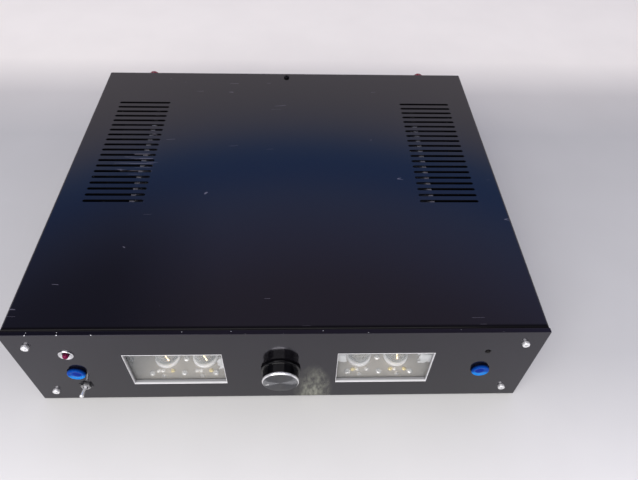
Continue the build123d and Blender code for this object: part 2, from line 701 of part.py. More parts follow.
def button_switch(side):
    """Push switch that takes the button's stem in its shaft."""
    x = side * CONTROL_X
    switch = block_at(x, BUTTON_Z, SWITCH_SIZE, SWITCH_SIZE, SWITCH_Y, SWITCH_Y + SWITCH_DEPTH)
    width = BUTTON_STEM_WIDTH + 2 * SHAFT_RUNNING
    bottom = FLANGE_Y + BUTTON_FLANGE + BUTTON_STEM + BUTTON_TRAVEL + FIT
    return switch - block_at(x, BUTTON_Z, width, width, SWITCH_Y - 1, bottom)


def button_boards():
    """Two small boards that carry the push switches."""
    front = SWITCH_Y + SWITCH_DEPTH
    size = (SWITCH_BOARD_WIDTH, SWITCH_BOARD_HEIGHT)
    return [block_at(side * CONTROL_X, BUTTON_Z, *size, front, front + BOARD) for side in SIDES]


def ir_sensor():
    """Dark receiver behind its small hole."""
    lens = prism_y(CONTROL_X, SENSOR_Z, -SENSOR_REACH, PANEL_THICK, SENSOR_R)
    back = PANEL_THICK + SENSOR_DEPTH
    return lens + block_at(CONTROL_X, SENSOR_Z, SENSOR_WIDTH, SENSOR_WIDTH, PANEL_THICK, back)


def tube_shelf():
    """Folded shelf that stands on the floor and carries the valve sockets."""
    shelf = block(-SHELF_HALF, SHELF_HALF, SHELF_FRONT, SHELF_BACK, SHELF_Z, SHELF_TOP)
    for side in SIDES:
        outer = side * SHELF_HALF
        shelf += block(outer - side * SHEET, outer, SHELF_FRONT, SHELF_BACK, FLOOR_TOP, SHELF_TOP)
        tip = outer + side * SHELF_FOOT
        shelf += block(outer, tip, SHELF_FRONT, SHELF_BACK, FLOOR_TOP, FLOOR_TOP + SHEET)
    shelf -= [prism_z(x, TUBE_Y, SHELF_Z - 1, SHELF_TOP + 1, SOCKET_BODY_R + FIT) for x in TUBE_X]
    shelf -= upright_holes(shelf_screw_places(), SHELF_Z, SHELF_TOP, SHELF_SCREW_R + SNUG)
    return shelf - upright_holes(shelf_foot_places(), FLOOR_TOP, FLOOR_TOP + SHEET, SCREW_R)


def shelf_screw_places():
    """Middle of each screw on the shelf, as (x, y)."""
    places = []
    for middle in (-WINDOW_X, WINDOW_X):
        places += [(middle + step * SHELF_SCREW_X, SHELF_SCREW_Y) for step in (-1, 0, 1)]
        places.append((middle, SHELF_SCREW_MID_Y))
    return places


def shelf_screws():
    """Screws that hold the valve boards' spacers under the shelf."""
    screws = []
    for x, y in shelf_screw_places():
        head = prism_z(x, y, SHELF_TOP, SHELF_TOP + SHELF_SCREW_HEAD, SHELF_SCREW_HEAD_R)
        screws.append(head + prism_z(x, y, SHELF_TOP - SHELF_SCREW_LENGTH, SHELF_TOP, SHELF_SCREW_R))
    return screws


def valve_boards():
    """Boards under the shelf that join the valve sockets' contacts."""
    top = SHELF_Z - VALVE_BOARD_GAP
    half = WINDOW_WIDTH / 2
    back = VALVE_BOARD_Y + VALVE_BOARD_LENGTH
    middles = (-WINDOW_X, WINDOW_X)
    return [block(x - half, x + half, VALVE_BOARD_Y, back, top - BOARD, top) for x in middles]


def tube_sockets():
    """Ceramic sockets: a round rim on the shelf and a body down to the board."""
    sockets = []
    for x in TUBE_X:
        rim = prism_z(x, TUBE_Y, SHELF_TOP, SOCKET_Z, SOCKET_R, ROUND_FLATS)
        sockets.append(rim + prism_z(x, TUBE_Y, SHELF_Z - VALVE_BOARD_GAP, SHELF_TOP, SOCKET_BODY_R))
    return sockets


def tube_bulbs():
    """Glass bulbs with a bevelled shoulder, open where they stand on their sockets."""
    shoulder = SOCKET_Z + TUBE_HEIGHT - TUBE_SHOULDER
    bulbs = []
    for x in TUBE_X:
        bulb = prism_z(x, TUBE_Y, SOCKET_Z, shoulder, TUBE_R, ROUND_FLATS)
        outline = Plane.XY.offset(shoulder) * Pos(x, TUBE_Y) * flats_round(TUBE_R, ROUND_FLATS)
        bulb += extrude(outline, TUBE_SHOULDER, taper=45)
        bulbs.append(bulb - prism_z(x, TUBE_Y, SOCKET_Z - 1, shoulder, TUBE_R - TUBE_WALL, ROUND_FLATS))
    return bulbs


def tube_plates():
    """Grey anodes of each valve, with cut corners."""
    plates = []
    for x in TUBE_X:
        outline = Rectangle(ANODE_LENGTH, ANODE_WIDTH)
        outline = chamfer(outline.vertices(), ANODE_CORNER)
        plates.append(extrude(Plane.XY.offset(ANODE_Z) * Pos(x, TUBE_Y) * outline, ANODE_HEIGHT))
    return plates


def heater_rods(x):
    """The two heater leads of the valve at x."""
    half = HEATER_WIDTH / 2
    rods = []
    for side in SIDES:
        middle = x + side * HEATER_OFFSET
        rods.append(block(middle - half, middle + half, TUBE_Y - half, TUBE_Y + half, SOCKET_Z, ANODE_Z))
    return rods


def tube_micas():
    """Thin mica plates under and over each valve's anodes."""
    plates = []
    high = ANODE_Z + ANODE_HEIGHT
    for x in TUBE_X:
        plates.append(prism_z(x, TUBE_Y, ANODE_Z - MICA_THICK, ANODE_Z, MICA_R) - heater_rods(x))
        plates.append(prism_z(x, TUBE_Y, high, high + MICA_THICK, MICA_R))
    return plates


def tube_heaters():
    """Glowing heater leads between each valve's socket and its anodes."""
    return [rod for x in TUBE_X for rod in heater_rods(x)]


def tag_pins():
    """Tinned soldering pins on the shelf in front of each valve."""
    half = TAG_WIDTH / 2
    pins = []
    for x in TUBE_X:
        for dx, y in TAG_SPOTS:
            middle = x + dx
            top = SHELF_TOP + TAG_HEIGHT
            pins.append(block(middle - half, middle + half, y - half, y + half, SHELF_TOP, top))
    return pins


def heatsink(side):
    """Extruded heat sink: a flat base and fins that point to the case's side."""
    half = SINK_FIN_PITCH * SINK_FIN_COUNT / 2
    base = SINK_X + SINK_BASE
    tip = base + SINK_FIN
    points = [(SINK_X, SINK_Y + half), (SINK_X, SINK_Y - half), (base, SINK_Y - half)]
    for i in range(SINK_FIN_COUNT):
        low = SINK_Y - half + SINK_FIN_PITCH * (i + 0.5) - SINK_FIN_THICK / 2
        high = low + SINK_FIN_THICK
        points += [(base, low), (tip, low), (tip, high), (base, high)]
    points.append((base, SINK_Y + half))
    outline = make_face(Polyline([(side * x, y, FLOOR_TOP) for x, y in points], close=True))
    sink = extrude(outline, SINK_HEIGHT, dir=(0, 0, 1))
    return sink - upright_holes(sink_screw_places(), FLOOR_TOP, FOOT_HEIGHT + SCREW_LENGTH, SCREW_R)


def transistors():
    """Output transistors flat on the heat sinks, with leads down to the boards."""
    low = BOARD_Z + BOARD + TRANSISTOR_RISE
    half = TRANSISTOR_WIDTH / 2
    pieces = []
    for side in SIDES:
        face = side * SINK_X
        lead = side * (SINK_X - TRANSISTOR_THICK / 2)
        for end in SIDES:
            y = SINK_Y + end * TRANSISTOR_PITCH / 2
            inner = face - side * TRANSISTOR_THICK
            piece = block(face, inner, y - half, y + half, low, low + TRANSISTOR_HEIGHT)
            for step in (-1, 0, 1):
                front = y + step * LEAD_PITCH - LEAD_WIDTH / 2
                tip = lead + side * LEAD_THICK
                piece += block(lead, tip, front, front + LEAD_WIDTH, BOARD_Z + BOARD, low)
            pieces.append(piece)
    return pieces


def board_corners(x, y, width, length):
    """Places of a board's four spacers."""
    half_x = width / 2 - BOARD_INSET
    half_y = length / 2 - BOARD_INSET
    return [(x + i * half_x, y + j * half_y) for i in SIDES for j in SIDES]


def amp_board_x(side):
    """Middle of an amplifier board: its edge lies under the transistors' leads."""
    return side * (SINK_X - FIT - AMP_BOARD_WIDTH / 2)


def plain_board(x, y, width, length):
    """Board on its spacers' height above the floor."""
    return block(x - width / 2, x + width / 2, y - length / 2, y + length / 2, BOARD_Z, BOARD_Z + BOARD)


def amp_board(side):
    """Amplifier board with a relay and three small coolers."""
    x = amp_board_x(side)
    top = BOARD_Z + BOARD
    board = plain_board(x, SINK_Y, AMP_BOARD_WIDTH, AMP_BOARD_LENGTH)
    low = SINK_Y + AMP_BOARD_LENGTH / 2 - 2 * RELAY_LENGTH
    half = RELAY_WIDTH / 2
    board += block(x - half, x + half, low, low + RELAY_LENGTH, top, top + RELAY_HEIGHT)
    for step in (-1, 0, 1):
        low = SINK_Y + step * COOLER_PITCH - COOLER_WIDTH / 2
        board += block(x, x + side * COOLER_THICK, low, low + COOLER_WIDTH, top, top + COOLER_HEIGHT)
    return board


def power_board():
    """Supply board with its rectifier bridge and two fuses."""
    top = BOARD_Z + BOARD
    board = plain_board(0, POWER_BOARD_Y, POWER_BOARD_WIDTH, POWER_BOARD_LENGTH)
    y = POWER_BOARD_Y + POWER_BOARD_LENGTH / 2 - FUSE_WIDTH
    half = BRIDGE_WIDTH / 2
    board += block(-half, half, y, y + BRIDGE_THICK, top, top + BRIDGE_HEIGHT)
    half = FUSE_LENGTH / 2
    for x in (-FUSE_X, FUSE_X):
        board += block(x - half, x + half, y - FUSE_WIDTH / 2, y + FUSE_WIDTH / 2, top, top + FUSE_HEIGHT)
    return board


def filter_capacitors():
    """Two supply capacitors standing on the supply board."""
    low = BOARD_Z + BOARD
    half = CAPACITOR_SPACING / 2
    high = low + CAPACITOR_HEIGHT
    return [prism_z(side * half, CAPACITOR_Y, low, high, CAPACITOR_R, HEAD_FLATS) for side in SIDES]


def board_spacers():
    """Six-sided spacers under the boards, under the shelf and behind the panel."""
    radius = SPACER_FLATS / 2
    spacers = []
    corners = board_corners(0, POWER_BOARD_Y, POWER_BOARD_WIDTH, POWER_BOARD_LENGTH)
    for side in SIDES:
        corners += board_corners(amp_board_x(side), SINK_Y, AMP_BOARD_WIDTH, AMP_BOARD_LENGTH)
        for step in SIDES:
            x = side * CONTROL_X + step * SWITCH_SPACER_X
            spacers.append(prism_y(x, BUTTON_Z, PANEL_THICK, SWITCH_Y + SWITCH_DEPTH, radius, HEX_FLATS))
    spacers += [prism_z(x, y, FLOOR_TOP, BOARD_Z, radius, HEX_FLATS) for x, y in corners]
    for x, y in shelf_screw_places():
        spacer = prism_z(x, y, SHELF_Z - VALVE_BOARD_GAP, SHELF_Z, radius, HEX_FLATS)
        spacers.append(spacer - prism_z(x, y, SHELF_TOP - SHELF_SCREW_LENGTH, SHELF_TOP, SHELF_SCREW_R))
    return spacers


def core_block(width, depth, height):
    """Box centred on the transformer's core."""
    return Pos(0, CORE_Y, FLOOR_TOP + CORE_HEIGHT / 2) * Box(width, depth, height)


def transformer_core():
    """Laminated core: a frame with a middle leg through the winding."""
    core = core_block(CORE_WIDTH, CORE_DEPTH, CORE_HEIGHT)
    core -= core_block(WINDING_WIDTH, WINDING_DEPTH, WINDING_HEIGHT)
    return core + core_block(CORE_LEG, CORE_DEPTH, WINDING_HEIGHT)


def transformer_winding():
    """Winding round the core's middle leg."""
    winding = core_block(WINDING_WIDTH, WINDING_DEPTH, WINDING_HEIGHT)
    return winding - core_block(CORE_LEG, CORE_DEPTH, WINDING_HEIGHT)


def transformer_strap():
    """Steel strap over the core, with a foot on each side."""
    half = CORE_WIDTH / 2 + SHEET
    low = CORE_Y - CORE_DEPTH / 2
    high = CORE_Y + CORE_DEPTH / 2
    strap = block(-half, half, low, high, FLOOR_TOP, FLOOR_TOP + CORE_HEIGHT + SHEET)
    strap -= block(SHEET - half, half - SHEET, low - 1, high + 1, 0, FLOOR_TOP + CORE_HEIGHT)
    for side in SIDES:
        strap += block(side * half, side * (half + STRAP_FOOT), low, high, FLOOR_TOP, FLOOR_TOP + SHEET)
    return strap - upright_holes(strap_foot_places(), FLOOR_TOP, FLOOR_TOP + SHEET, SCREW_R)


def post_places():
    """Middle of each loudspeaker post, as (x, z): red above black on each side."""
    return [(side * POST_X, POST_RED_Z - row * POST_PITCH) for row in (0, 1) for side in SIDES]


def post_cap(x, z):
    """Grooved screw cap that turns on its stud."""
    front = POST_END - POST_CAP_LENGTH
    turn = 180 / POST_GROOVES
    points = []
    for i in range(2 * POST_GROOVES):
        radius = POST_CAP_R - (i % 2) * POST_GROOVE
        angle = math.radians(turn * i)
        points.append((x + radius * math.cos(angle), front, z + radius * math.sin(angle)))
    cap = extrude(make_face(Polyline(points, close=True)), POST_CAP_LENGTH, dir=(0, 1, 0))
    return cap - prism_y(x, z, front - 1, POST_END + 1, POST_STUD_R + POST_RUNNING, HEAD_FLATS)


def post_studs():
    """Studs with a plug bore at the outer end and a nut and thread inside the case."""
    studs = []
    for x, z in post_places():
        stud = prism_y(x, z, REAR_IN, POST_END, POST_STUD_R * TO_FLATS, HEAD_FLATS)
        stud += prism_y(x, z, REAR_IN - POST_NUT, REAR_IN, POST_NUT_FLATS / 2, HEX_FLATS)
        stud += prism_y(x, z, REAR_IN - POST_INSIDE, REAR_IN - POST_NUT, POST_STUD_R)
        studs.append(stud - rod_y(x, z, POST_END - POST_BORE, POST_END + 1, POST_BORE_R))
    return studs


def post_plates():
    """Insulating plates behind the loudspeaker posts, with a block through the back panel."""
    edge = POST_END - POST_CAP_LENGTH - FIT
    middle = POST_RED_Z - POST_PITCH / 2
    plates = []
    for side in SIDES:
        plate = block_at(side * POST_X, middle, POST_PLATE_WIDTH, POST_PLATE_HEIGHT, REAR_OUT, edge)
        plate += block_at(side * POST_X, middle, POST_CUT_WIDTH, POST_CUT_HEIGHT, REAR_IN, REAR_OUT)
        plate -= [prism_y(x, z, REAR_IN - 1, edge + 1, POST_STUD_R + SNUG) for x, z in post_places()]
        plates.append(plate)
    return plates


def rca_plate():
    """Insulating plate that carries both input sockets."""
    plate = block_at(RCA_X, RCA_Z, RCA_PLATE_WIDTH, RCA_PLATE_HEIGHT, REAR_OUT, REAR_OUT + RCA_PLATE)
    return plate - [prism_y(x, RCA_Z, REAR_OUT - 1, RCA_END, RCA_THREAD_R + SNUG) for x in RCA_PLACES]


def rca_shells():
    """Metal sleeves of the input sockets, seated on their plate, with a thread through it."""
    seat = REAR_OUT + RCA_PLATE
    shells = []
    for x in RCA_PLACES:
        shell = rod_y(x, RCA_Z, seat, RCA_END, RCA_R)
        shell += prism_y(x, RCA_Z, REAR_IN - RCA_INSIDE, seat, RCA_THREAD_R)
        shells.append(shell - prism_y(x, RCA_Z, REAR_IN - RCA_INSIDE - 1, RCA_END + 1, RCA_CORE_R))
    return shells


def rca_cores():
    """Insulators of the input sockets, with the bore for the plug's pin."""
    end = RCA_END - RCA_CORE_INSET
    cores = []
    for x in RCA_PLACES:
        core = prism_y(x, RCA_Z, REAR_IN - RCA_INSIDE, end, RCA_CORE_R)
        cores.append(core - rod_y(x, RCA_Z, end - RCA_BORE, end + 1, RCA_BORE_R))
    return cores


def mains_inlet():
    """Mains inlet: a flanged cup, open to the back."""
    start = INLET_END - INLET_DEPTH - INLET_WALL
    body = block_at(INLET_X, INLET_Z, INLET_WIDTH, INLET_HEIGHT, start, INLET_END)
    body += block_at(INLET_X, INLET_Z, INLET_FLANGE_WIDTH, INLET_FLANGE_HEIGHT, REAR_OUT, INLET_END)
    width = INLET_WIDTH - 2 * INLET_WALL
    height = INLET_HEIGHT - 2 * INLET_WALL
    return body - block_at(INLET_X, INLET_Z, width, height, INLET_END - INLET_DEPTH, INLET_END + 1)


def inlet_pins():
    """Three flat pins in the mains inlet, the earth pin below the others."""
    start = INLET_END - INLET_DEPTH
    pins = []
    for step in (-1, 0, 1):
        x = INLET_X + step * INLET_PIN_SPACING
        z = INLET_Z + (INLET_PIN_RISE if step else -INLET_PIN_RISE)
        pins.append(block_at(x, z, INLET_PIN_WIDTH, INLET_PIN_HEIGHT, start, start + INLET_PIN_LENGTH))
    return pins


def write(name, shape):
    """Move a piece or a list of pieces to the common frame and write its STEP file."""
    pieces = list(shape) if isinstance(shape, list) else [shape]
    placed = [Pos(0, FACE_Y, 0) * piece for piece in pieces]
    group = placed[0] if len(placed) == 1 else Compound(children=placed)
    export_step(group, f"parts/{name}.step")


SINGLE_PIECES = (
    front_panel, panel_screws, chassis_tray, top_cover, side_screws, cover_rear_screw, rear_panel,
    rubber_feet, floor_screws, volume_knob, knob_cap, pot_shaft, volume_pot, pot_nut, toggle_lever,
    toggle_body, toggle_bushing, toggle_nut, toggle_washer, led_bezel, led_lens, button_boards, ir_sensor,
    tube_shelf, shelf_screws, valve_boards, tube_sockets, tube_bulbs, tube_plates, tube_micas, tube_heaters,
    tag_pins, transistors, power_board, filter_capacitors, board_spacers, transformer_core,
    transformer_winding, transformer_strap, post_studs, post_plates, rca_plate, rca_shells, rca_cores,
    mains_inlet, inlet_pins,
)
SIDED_PIECES = (window_pane, button_cap, button_switch, heatsink, amp_board)


def main():
    """Build every piece and write it under its function's name."""
    os.makedirs("parts", exist_ok=True)
    for maker in SINGLE_PIECES:
        write(maker.__name__, maker())
    for side, word in ((-1, "left"), (1, "right")):
        for maker in SIDED_PIECES:
            write(f"{maker.__name__}_{word}", maker(side))
        write(f"post_cap_red_{word}", post_cap(side * POST_X, POST_RED_Z))
        write(f"post_cap_black_{word}", post_cap(side * POST_X, POST_RED_Z - POST_PITCH))


main()
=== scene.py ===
# %% [markdown]
# # A hybrid stereo amplifier, dressed for its picture
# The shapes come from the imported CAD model. Here each surface gets the finish of the real
# one, and the small round pieces get a smoother form than the CAD has.

# %% Load the frame
import math
import bmesh
import bpy
import numpy as np
from mathutils import Matrix, Vector


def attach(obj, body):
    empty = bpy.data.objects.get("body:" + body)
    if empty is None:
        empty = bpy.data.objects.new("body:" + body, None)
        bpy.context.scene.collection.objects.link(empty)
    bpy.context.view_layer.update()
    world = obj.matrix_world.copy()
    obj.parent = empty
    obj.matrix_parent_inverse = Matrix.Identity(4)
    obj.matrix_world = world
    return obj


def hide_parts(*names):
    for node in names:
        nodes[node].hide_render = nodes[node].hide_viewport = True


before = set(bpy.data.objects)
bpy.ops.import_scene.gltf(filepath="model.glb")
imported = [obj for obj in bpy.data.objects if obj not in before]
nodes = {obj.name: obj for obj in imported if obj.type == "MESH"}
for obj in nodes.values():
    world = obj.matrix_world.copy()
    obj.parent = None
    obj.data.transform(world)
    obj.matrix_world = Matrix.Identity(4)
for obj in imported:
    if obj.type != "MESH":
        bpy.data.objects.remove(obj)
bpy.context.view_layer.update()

# Shapes are given in millimetres of the frame. FACE_Y is the panel's front face. Names that
# end in _M are in metres.
MM = 0.001
FACE_Y = -192.5

# %% [markdown]
# ## Camera
# The real camera was worked out from the panel's corners, the vents and the lid's edges.
# A camera object keeps one matrix: a turn, then a place. Building the turn from three plain
# rotations, in radians, keeps each number readable.

# %% Camera
LENS_MM = 30.52
PLACE_M = (0.017214, -0.418331, 0.468677)
YAW, TILT, ROLL = -0.00162147, 0.730083, -0.0324590

camera = bpy.data.objects.new("view", bpy.data.cameras.new("view"))
camera.data.sensor_width = 36
camera.data.lens = LENS_MM
turn = Matrix.Rotation(YAW, 3, "Z") @ Matrix.Rotation(TILT, 3, "X") @ Matrix.Rotation(ROLL, 3, "Y")
camera.matrix_world = Matrix.Translation(PLACE_M) @ turn.to_4x4()
bpy.context.scene.collection.objects.link(camera)
bpy.context.scene.camera = camera
bpy.context.scene.view_settings.view_transform = "Standard"
print("camera lens:", camera.data.lens)

# %% [markdown]
# ## Colours and nodes
# Paint colours are easiest to judge as sRGB hex values, but shaders want linear light, so one
# function turns them. A second one adds any node with its settings and links, which keeps
# each material short enough to read.

# %% Colour and node helpers
def colour(text):
    """Linear RGBA of an sRGB hex value: each channel goes through the sRGB curve."""
    channels = np.array([int(text[i:i + 2], 16) for i in (1, 3, 5)]) / 255
    linear = np.where(channels <= 0.04045, channels / 12.92, ((channels + 0.055) / 1.055) ** 2.4)
    return (*linear.tolist(), 1.0)


def add(tree, kind, inputs=None, **settings):
    """Add one node; inputs hold values or sockets to link, settings are its properties."""
    made = tree.nodes.new("ShaderNode" + kind)
    for key, value in settings.items():
        setattr(made, key, value)
    for key, value in (inputs or {}).items():
        if isinstance(value, bpy.types.NodeSocket):
            tree.links.new(value, made.inputs[key])
        else:
            made.inputs[key].default_value = value
    return made


def ramp(tree, value, *stops):
    """Colour ramp through (place, hex colour) stops."""
    made = add(tree, "ValToRGB", {0: value})
    elements = made.color_ramp.elements
    elements[0].position, elements[1].position = stops[0][0], stops[-1][0]
    for place, _ in stops[1:-1]:
        elements.new(place)
    for element, (_, text) in zip(elements, stops):
        element.color = colour(text)
    return made.outputs[0]


def material(name, base, **values):
    """Start a material: a Principled shader with its base colour and plain values."""
    made = bpy.data.materials.new(name)
    made.use_nodes = True
    shader = made.node_tree.nodes["Principled BSDF"]
    shader.inputs["Base Color"].default_value = colour(base)
    for key, value in values.items():
        shader.inputs[key.replace("_", " ")].default_value = value
    return made, made.node_tree, shader


def join(tree, socket, shader, name):
    """Link a socket to one of the shader's inputs."""
    tree.links.new(socket, shader.inputs[name])


print("grey 50% is", round(colour("#808080")[0], 3), "in linear light")

# %% [markdown]
# ## Patterns from sums
# Nearly every pattern below is a small sum on the place of a point. Each of these helpers adds
# one kind of node and gives its output, so that a mask reads like a formula.

# %% Pattern helpers
def here(tree):
    """Object coordinates of the point, in metres of the shared frame."""
    return add(tree, "TexCoord").outputs["Object"]


def axes(tree, where):
    """The outputs X, Y and Z of a vector."""
    return add(tree, "SeparateXYZ", {0: where}).outputs


def maths(tree, operation, *values):
    """Result of one operation on numbers."""
    return add(tree, "Math", dict(enumerate(values)), operation=operation).outputs[0]


def vectors(tree, operation, *values):
    """Result of one operation on vectors; a length is a number, all else a vector."""
    made = add(tree, "VectorMath", dict(enumerate(values)), operation=operation)
    return made.outputs[1 if operation == "LENGTH" else 0]


def fade(tree, value, start, stop, first=0.0, last=1.0):
    """Number that goes from first to last while the value goes from start to stop."""
    limits = {"From Min": start, "From Max": stop, "To Min": first, "To Max": last}
    return add(tree, "MapRange", {"Value": value, **limits}).outputs[0]


def inside(tree, value, span_mm):
    """1 where the value lies in a span, given as its middle and half its width."""
    return maths(tree, "COMPARE", value, span_mm[0] * MM, span_mm[1] * MM)


def blend(tree, share, first, second):
    """Mix of two colours, as hex values or sockets; the share is that of the second."""
    first, second = (colour(value) if isinstance(value, str) else value for value in (first, second))
    return add(tree, "Mix", {0: share, 6: first, 7: second}, data_type="RGBA").outputs[2]


def noise(tree, where, scale, detail=2.0):
    """Noise about 0.5, whose scale counts waves per unit of the vector."""
    return add(tree, "TexNoise", {"Vector": where, "Scale": scale, "Detail": detail}).outputs[0]


def stretched(tree, where, waves, detail, turn=0.0):
    """Noise with its own waves per metre along X, Y and Z, turned about Z."""
    mapped = add(tree, "Mapping", {"Vector": where, "Rotation": (0.0, 0.0, turn), "Scale": waves})
    return noise(tree, mapped.outputs[0], 1.0, detail)


# %% [markdown]
# ## A fine grain for plain finishes
# No moulded, coated or plated surface is perfectly even. Its grain changes the gloss a little
# and tilts the surface a little. Noise on Object coordinates does both, and its scale is
# worked out from the grain's real width, because the scale counts waves per metre.

# %% Grain
def grain(tree, shader, width_mm, gloss, height_mm):
    """Noise of a real width drives the roughness between two values and a low bump."""
    where = here(tree)
    waves = noise(tree, where, 1000 / width_mm, 4.0)
    bump = add(tree, "Bump", {"Height": waves, "Distance": height_mm * MM, "Strength": 1.0})
    join(tree, fade(tree, waves, 0.3, 0.7, *gloss), shader, "Roughness")
    join(tree, bump.outputs[0], shader, "Normal")
    return where


def grained(name, base, gloss, width_mm, height_mm, **values):
    """Even colour with plain values and a grain: all that many finishes need."""
    made, tree, shader = material(name, base, **values)
    grain(tree, shader, width_mm, gloss, height_mm)
    return made


# %% [markdown]
# ## Powder coat of the cover
# Polyester powder is sprayed on and baked. It melts to an even, fairly glossy skin with a faint
# orange peel, which blurs reflections by a degree or two. Years on a shelf leave a few hair-thin
# scratches and pale specks. A scratch is a stretched noise close to its middle value, which
# draws thin wandering lines, and a slow noise keeps only short lengths of them. Close hair lines
# show where a hand has rubbed the slots. On the front fold the specular is turned down, which
# is painted shade: the fold catches less light.

# %% Powder coat
BLACK = "#0a090c"
WORN = "#504e58"
RUBBED_XY = (-150.0, 8.0)
RUBBED_REACH = 32.0
# Depth span of the painted shade on the front fold.
FOLD_SHADE_Y = (FACE_Y + 6.6, FACE_Y + 8.4)


def scratches(tree, where, turn, width):
    """1 on short hair lines that run near the turned X axis."""
    line = maths(tree, "COMPARE", stretched(tree, where, (8.0, 60.0, 60.0), 1.0, turn), 0.5, width)
    keep = maths(tree, "GREATER_THAN", noise(tree, where, 45.0 + 9.0 * turn, 1.0), 0.735)
    return maths(tree, "MULTIPLY", line, keep)


def rubbed(tree, where, middle_mm, reach_mm):
    """1 on close hair lines along the slots, densest within half the reach and none beyond it."""
    moved = vectors(tree, "ADD", where, (-middle_mm[0] * MM, -middle_mm[1] * MM, 0.0))
    far = vectors(tree, "LENGTH", vectors(tree, "MULTIPLY", moved, (1.0, 1.0, 0.0)))
    near = fade(tree, far, reach_mm * MM, 0.5 * reach_mm * MM, -0.2, 0.13)
    lines = stretched(tree, where, (22.0, 620.0, 60.0), 2.0, 0.05)
    return maths(tree, "GREATER_THAN", maths(tree, "ADD", lines, near), 0.69)


def aged_powder():
    """Black coat with orange peel of about 1.2 mm, scratches, specks, one rubbed patch and painted shade on
    the front bend.
    """
    made, tree, shader = material("powder_coat_lid", BLACK, Specular_IOR_Level=0.5)
    where = grain(tree, shader, 1.2, (0.10, 0.15), 0.002)
    lines = maths(tree, "MAXIMUM", scratches(tree, where, 0.15, 0.0035), scratches(tree, where, -0.5, 0.003))
    dots = add(tree, "TexVoronoi", {"Vector": where, "Scale": 60.0}).outputs["Distance"]
    few = maths(tree, "GREATER_THAN", noise(tree, where, 40.0, 0.0), 0.57)
    specks = maths(tree, "MULTIPLY", maths(tree, "LESS_THAN", dots, 0.022), few)
    faint = maths(tree, "MULTIPLY", rubbed(tree, where, RUBBED_XY, RUBBED_REACH), 0.7)
    wear = maths(tree, "MAXIMUM", maths(tree, "MAXIMUM", lines, specks), faint)
    join(tree, blend(tree, wear, BLACK, WORN), shader, "Base Color")
    # Painted shade: less specular on the front fold.
    fold_shade = fade(tree, axes(tree, where)["Y"], FOLD_SHADE_Y[0] * MM, FOLD_SHADE_Y[1] * MM, 0.06, 0.5)
    join(tree, fold_shade, shader, "Specular IOR Level")
    return made


lid_coat = aged_powder()
sheet_coat = grained("powder_coat_sheet", "#121213", (0.38, 0.5), 1.2, 0.015, Specular_IOR_Level=0.4)
print("coats:", lid_coat.name, sheet_coat.name)

# %% [markdown]
# ## Lacquered panel with bare cut edges
# The panel is an aluminium plate in glossy black lacquer, and its windows were cut
# afterwards, so the cut faces are bare. They are bright near the front and get painted shade
# deeper in. All this belongs to one plate. A mask made of plain comparisons on
# Object coordinates tells the finishes apart, with nothing painted by hand. A second mask
# leaves tiny nicks along the top edge, where the lacquer has chipped, and a third one a smear
# of dried polish beside the knob.

# %% Panel lacquer
WINDOW_X = (88, 40.4)
WINDOW_Z = (51.8, 24.7)
# Depth behind the face over which painted shade darkens the bare window cuts.
CUT_SHADE_Y = (FACE_Y + 1.4, FACE_Y + 2.0)
NICKS_ABOVE = 106.6
SMEAR_MIDDLE = (28.0, FACE_Y, 6.0)
SMEAR_REACH = (18.0, 54.0)


def window_mask(tree, split):
    """1 on the walls and rim of either opening, falling to 0.38 deeper in the cut as painted shade."""
    far = maths(tree, "ABSOLUTE", split["X"])
    near = maths(tree, "MULTIPLY", inside(tree, far, WINDOW_X), inside(tree, split["Z"], WINDOW_Z))
    # Painted shade: the bare cut face fades to 0.38 deeper behind the front.
    cut_shade = fade(tree, split["Y"], CUT_SHADE_Y[0] * MM, CUT_SHADE_Y[1] * MM, 1.0, 0.38)
    return maths(tree, "MULTIPLY", near, cut_shade)


def nick_mask(tree, where, split):
    """1 on rare short spots in the last 0.4 mm below the panel's top edge."""
    high = maths(tree, "GREATER_THAN", split["Z"], NICKS_ABOVE * MM)
    rare = maths(tree, "GREATER_THAN", noise(tree, where, 420.0, 1.0), 0.765)
    return maths(tree, "MULTIPLY", high, rare)


def smudge(tree, where):
    """Share of a dried polish smear beside the knob: mottled, and thickest at the panel's foot."""
    moved = vectors(tree, "ADD", where, tuple(-middle * MM for middle in SMEAR_MIDDLE))
    shares = (1000 / SMEAR_REACH[0], 0.0, 1000 / SMEAR_REACH[1])
    far = vectors(tree, "LENGTH", vectors(tree, "MULTIPLY", moved, shares))
    drips = stretched(tree, where, (300.0, 300.0, 110.0), 4.0)
    return maths(tree, "MULTIPLY", fade(tree, far, 1.0, 0.1), fade(tree, drips, 0.36, 0.66, 0.1, 0.6))


def panel_lacquer():
    """Gloss lacquer, bare metal at the cut edges and nicks with painted shade deeper in the cuts, wipe marks
    and one smear of polish.
    """
    made, tree, shader = material("lacquered_panel", BLACK, Specular_IOR_Level=0.42,
                                  Specular_Tint=colour("#eae6ff"))
    where = here(tree)
    split = axes(tree, where)
    bare = maths(tree, "MAXIMUM", window_mask(tree, split), nick_mask(tree, where, split))
    # Bare metal colour, with painted shade deeper in the window cuts.
    paint = blend(tree, bare, BLACK, "#e4e4e6")
    join(tree, blend(tree, smudge(tree, where), paint, "#a2a494"), shader, "Base Color")
    join(tree, maths(tree, "MULTIPLY", bare, 0.35), shader, "Metallic")
    gloss = fade(tree, stretched(tree, where, (30.0, 30.0, 110.0), 5.0), 0.0, 1.0, 0.06, 0.15)
    rough = add(tree, "Mix", {0: bare, 2: gloss, 3: 0.5}, data_type="FLOAT")
    join(tree, rough.outputs[0], shader, "Roughness")
    return made


panel_coat = panel_lacquer()
print("panel:", panel_coat.name)

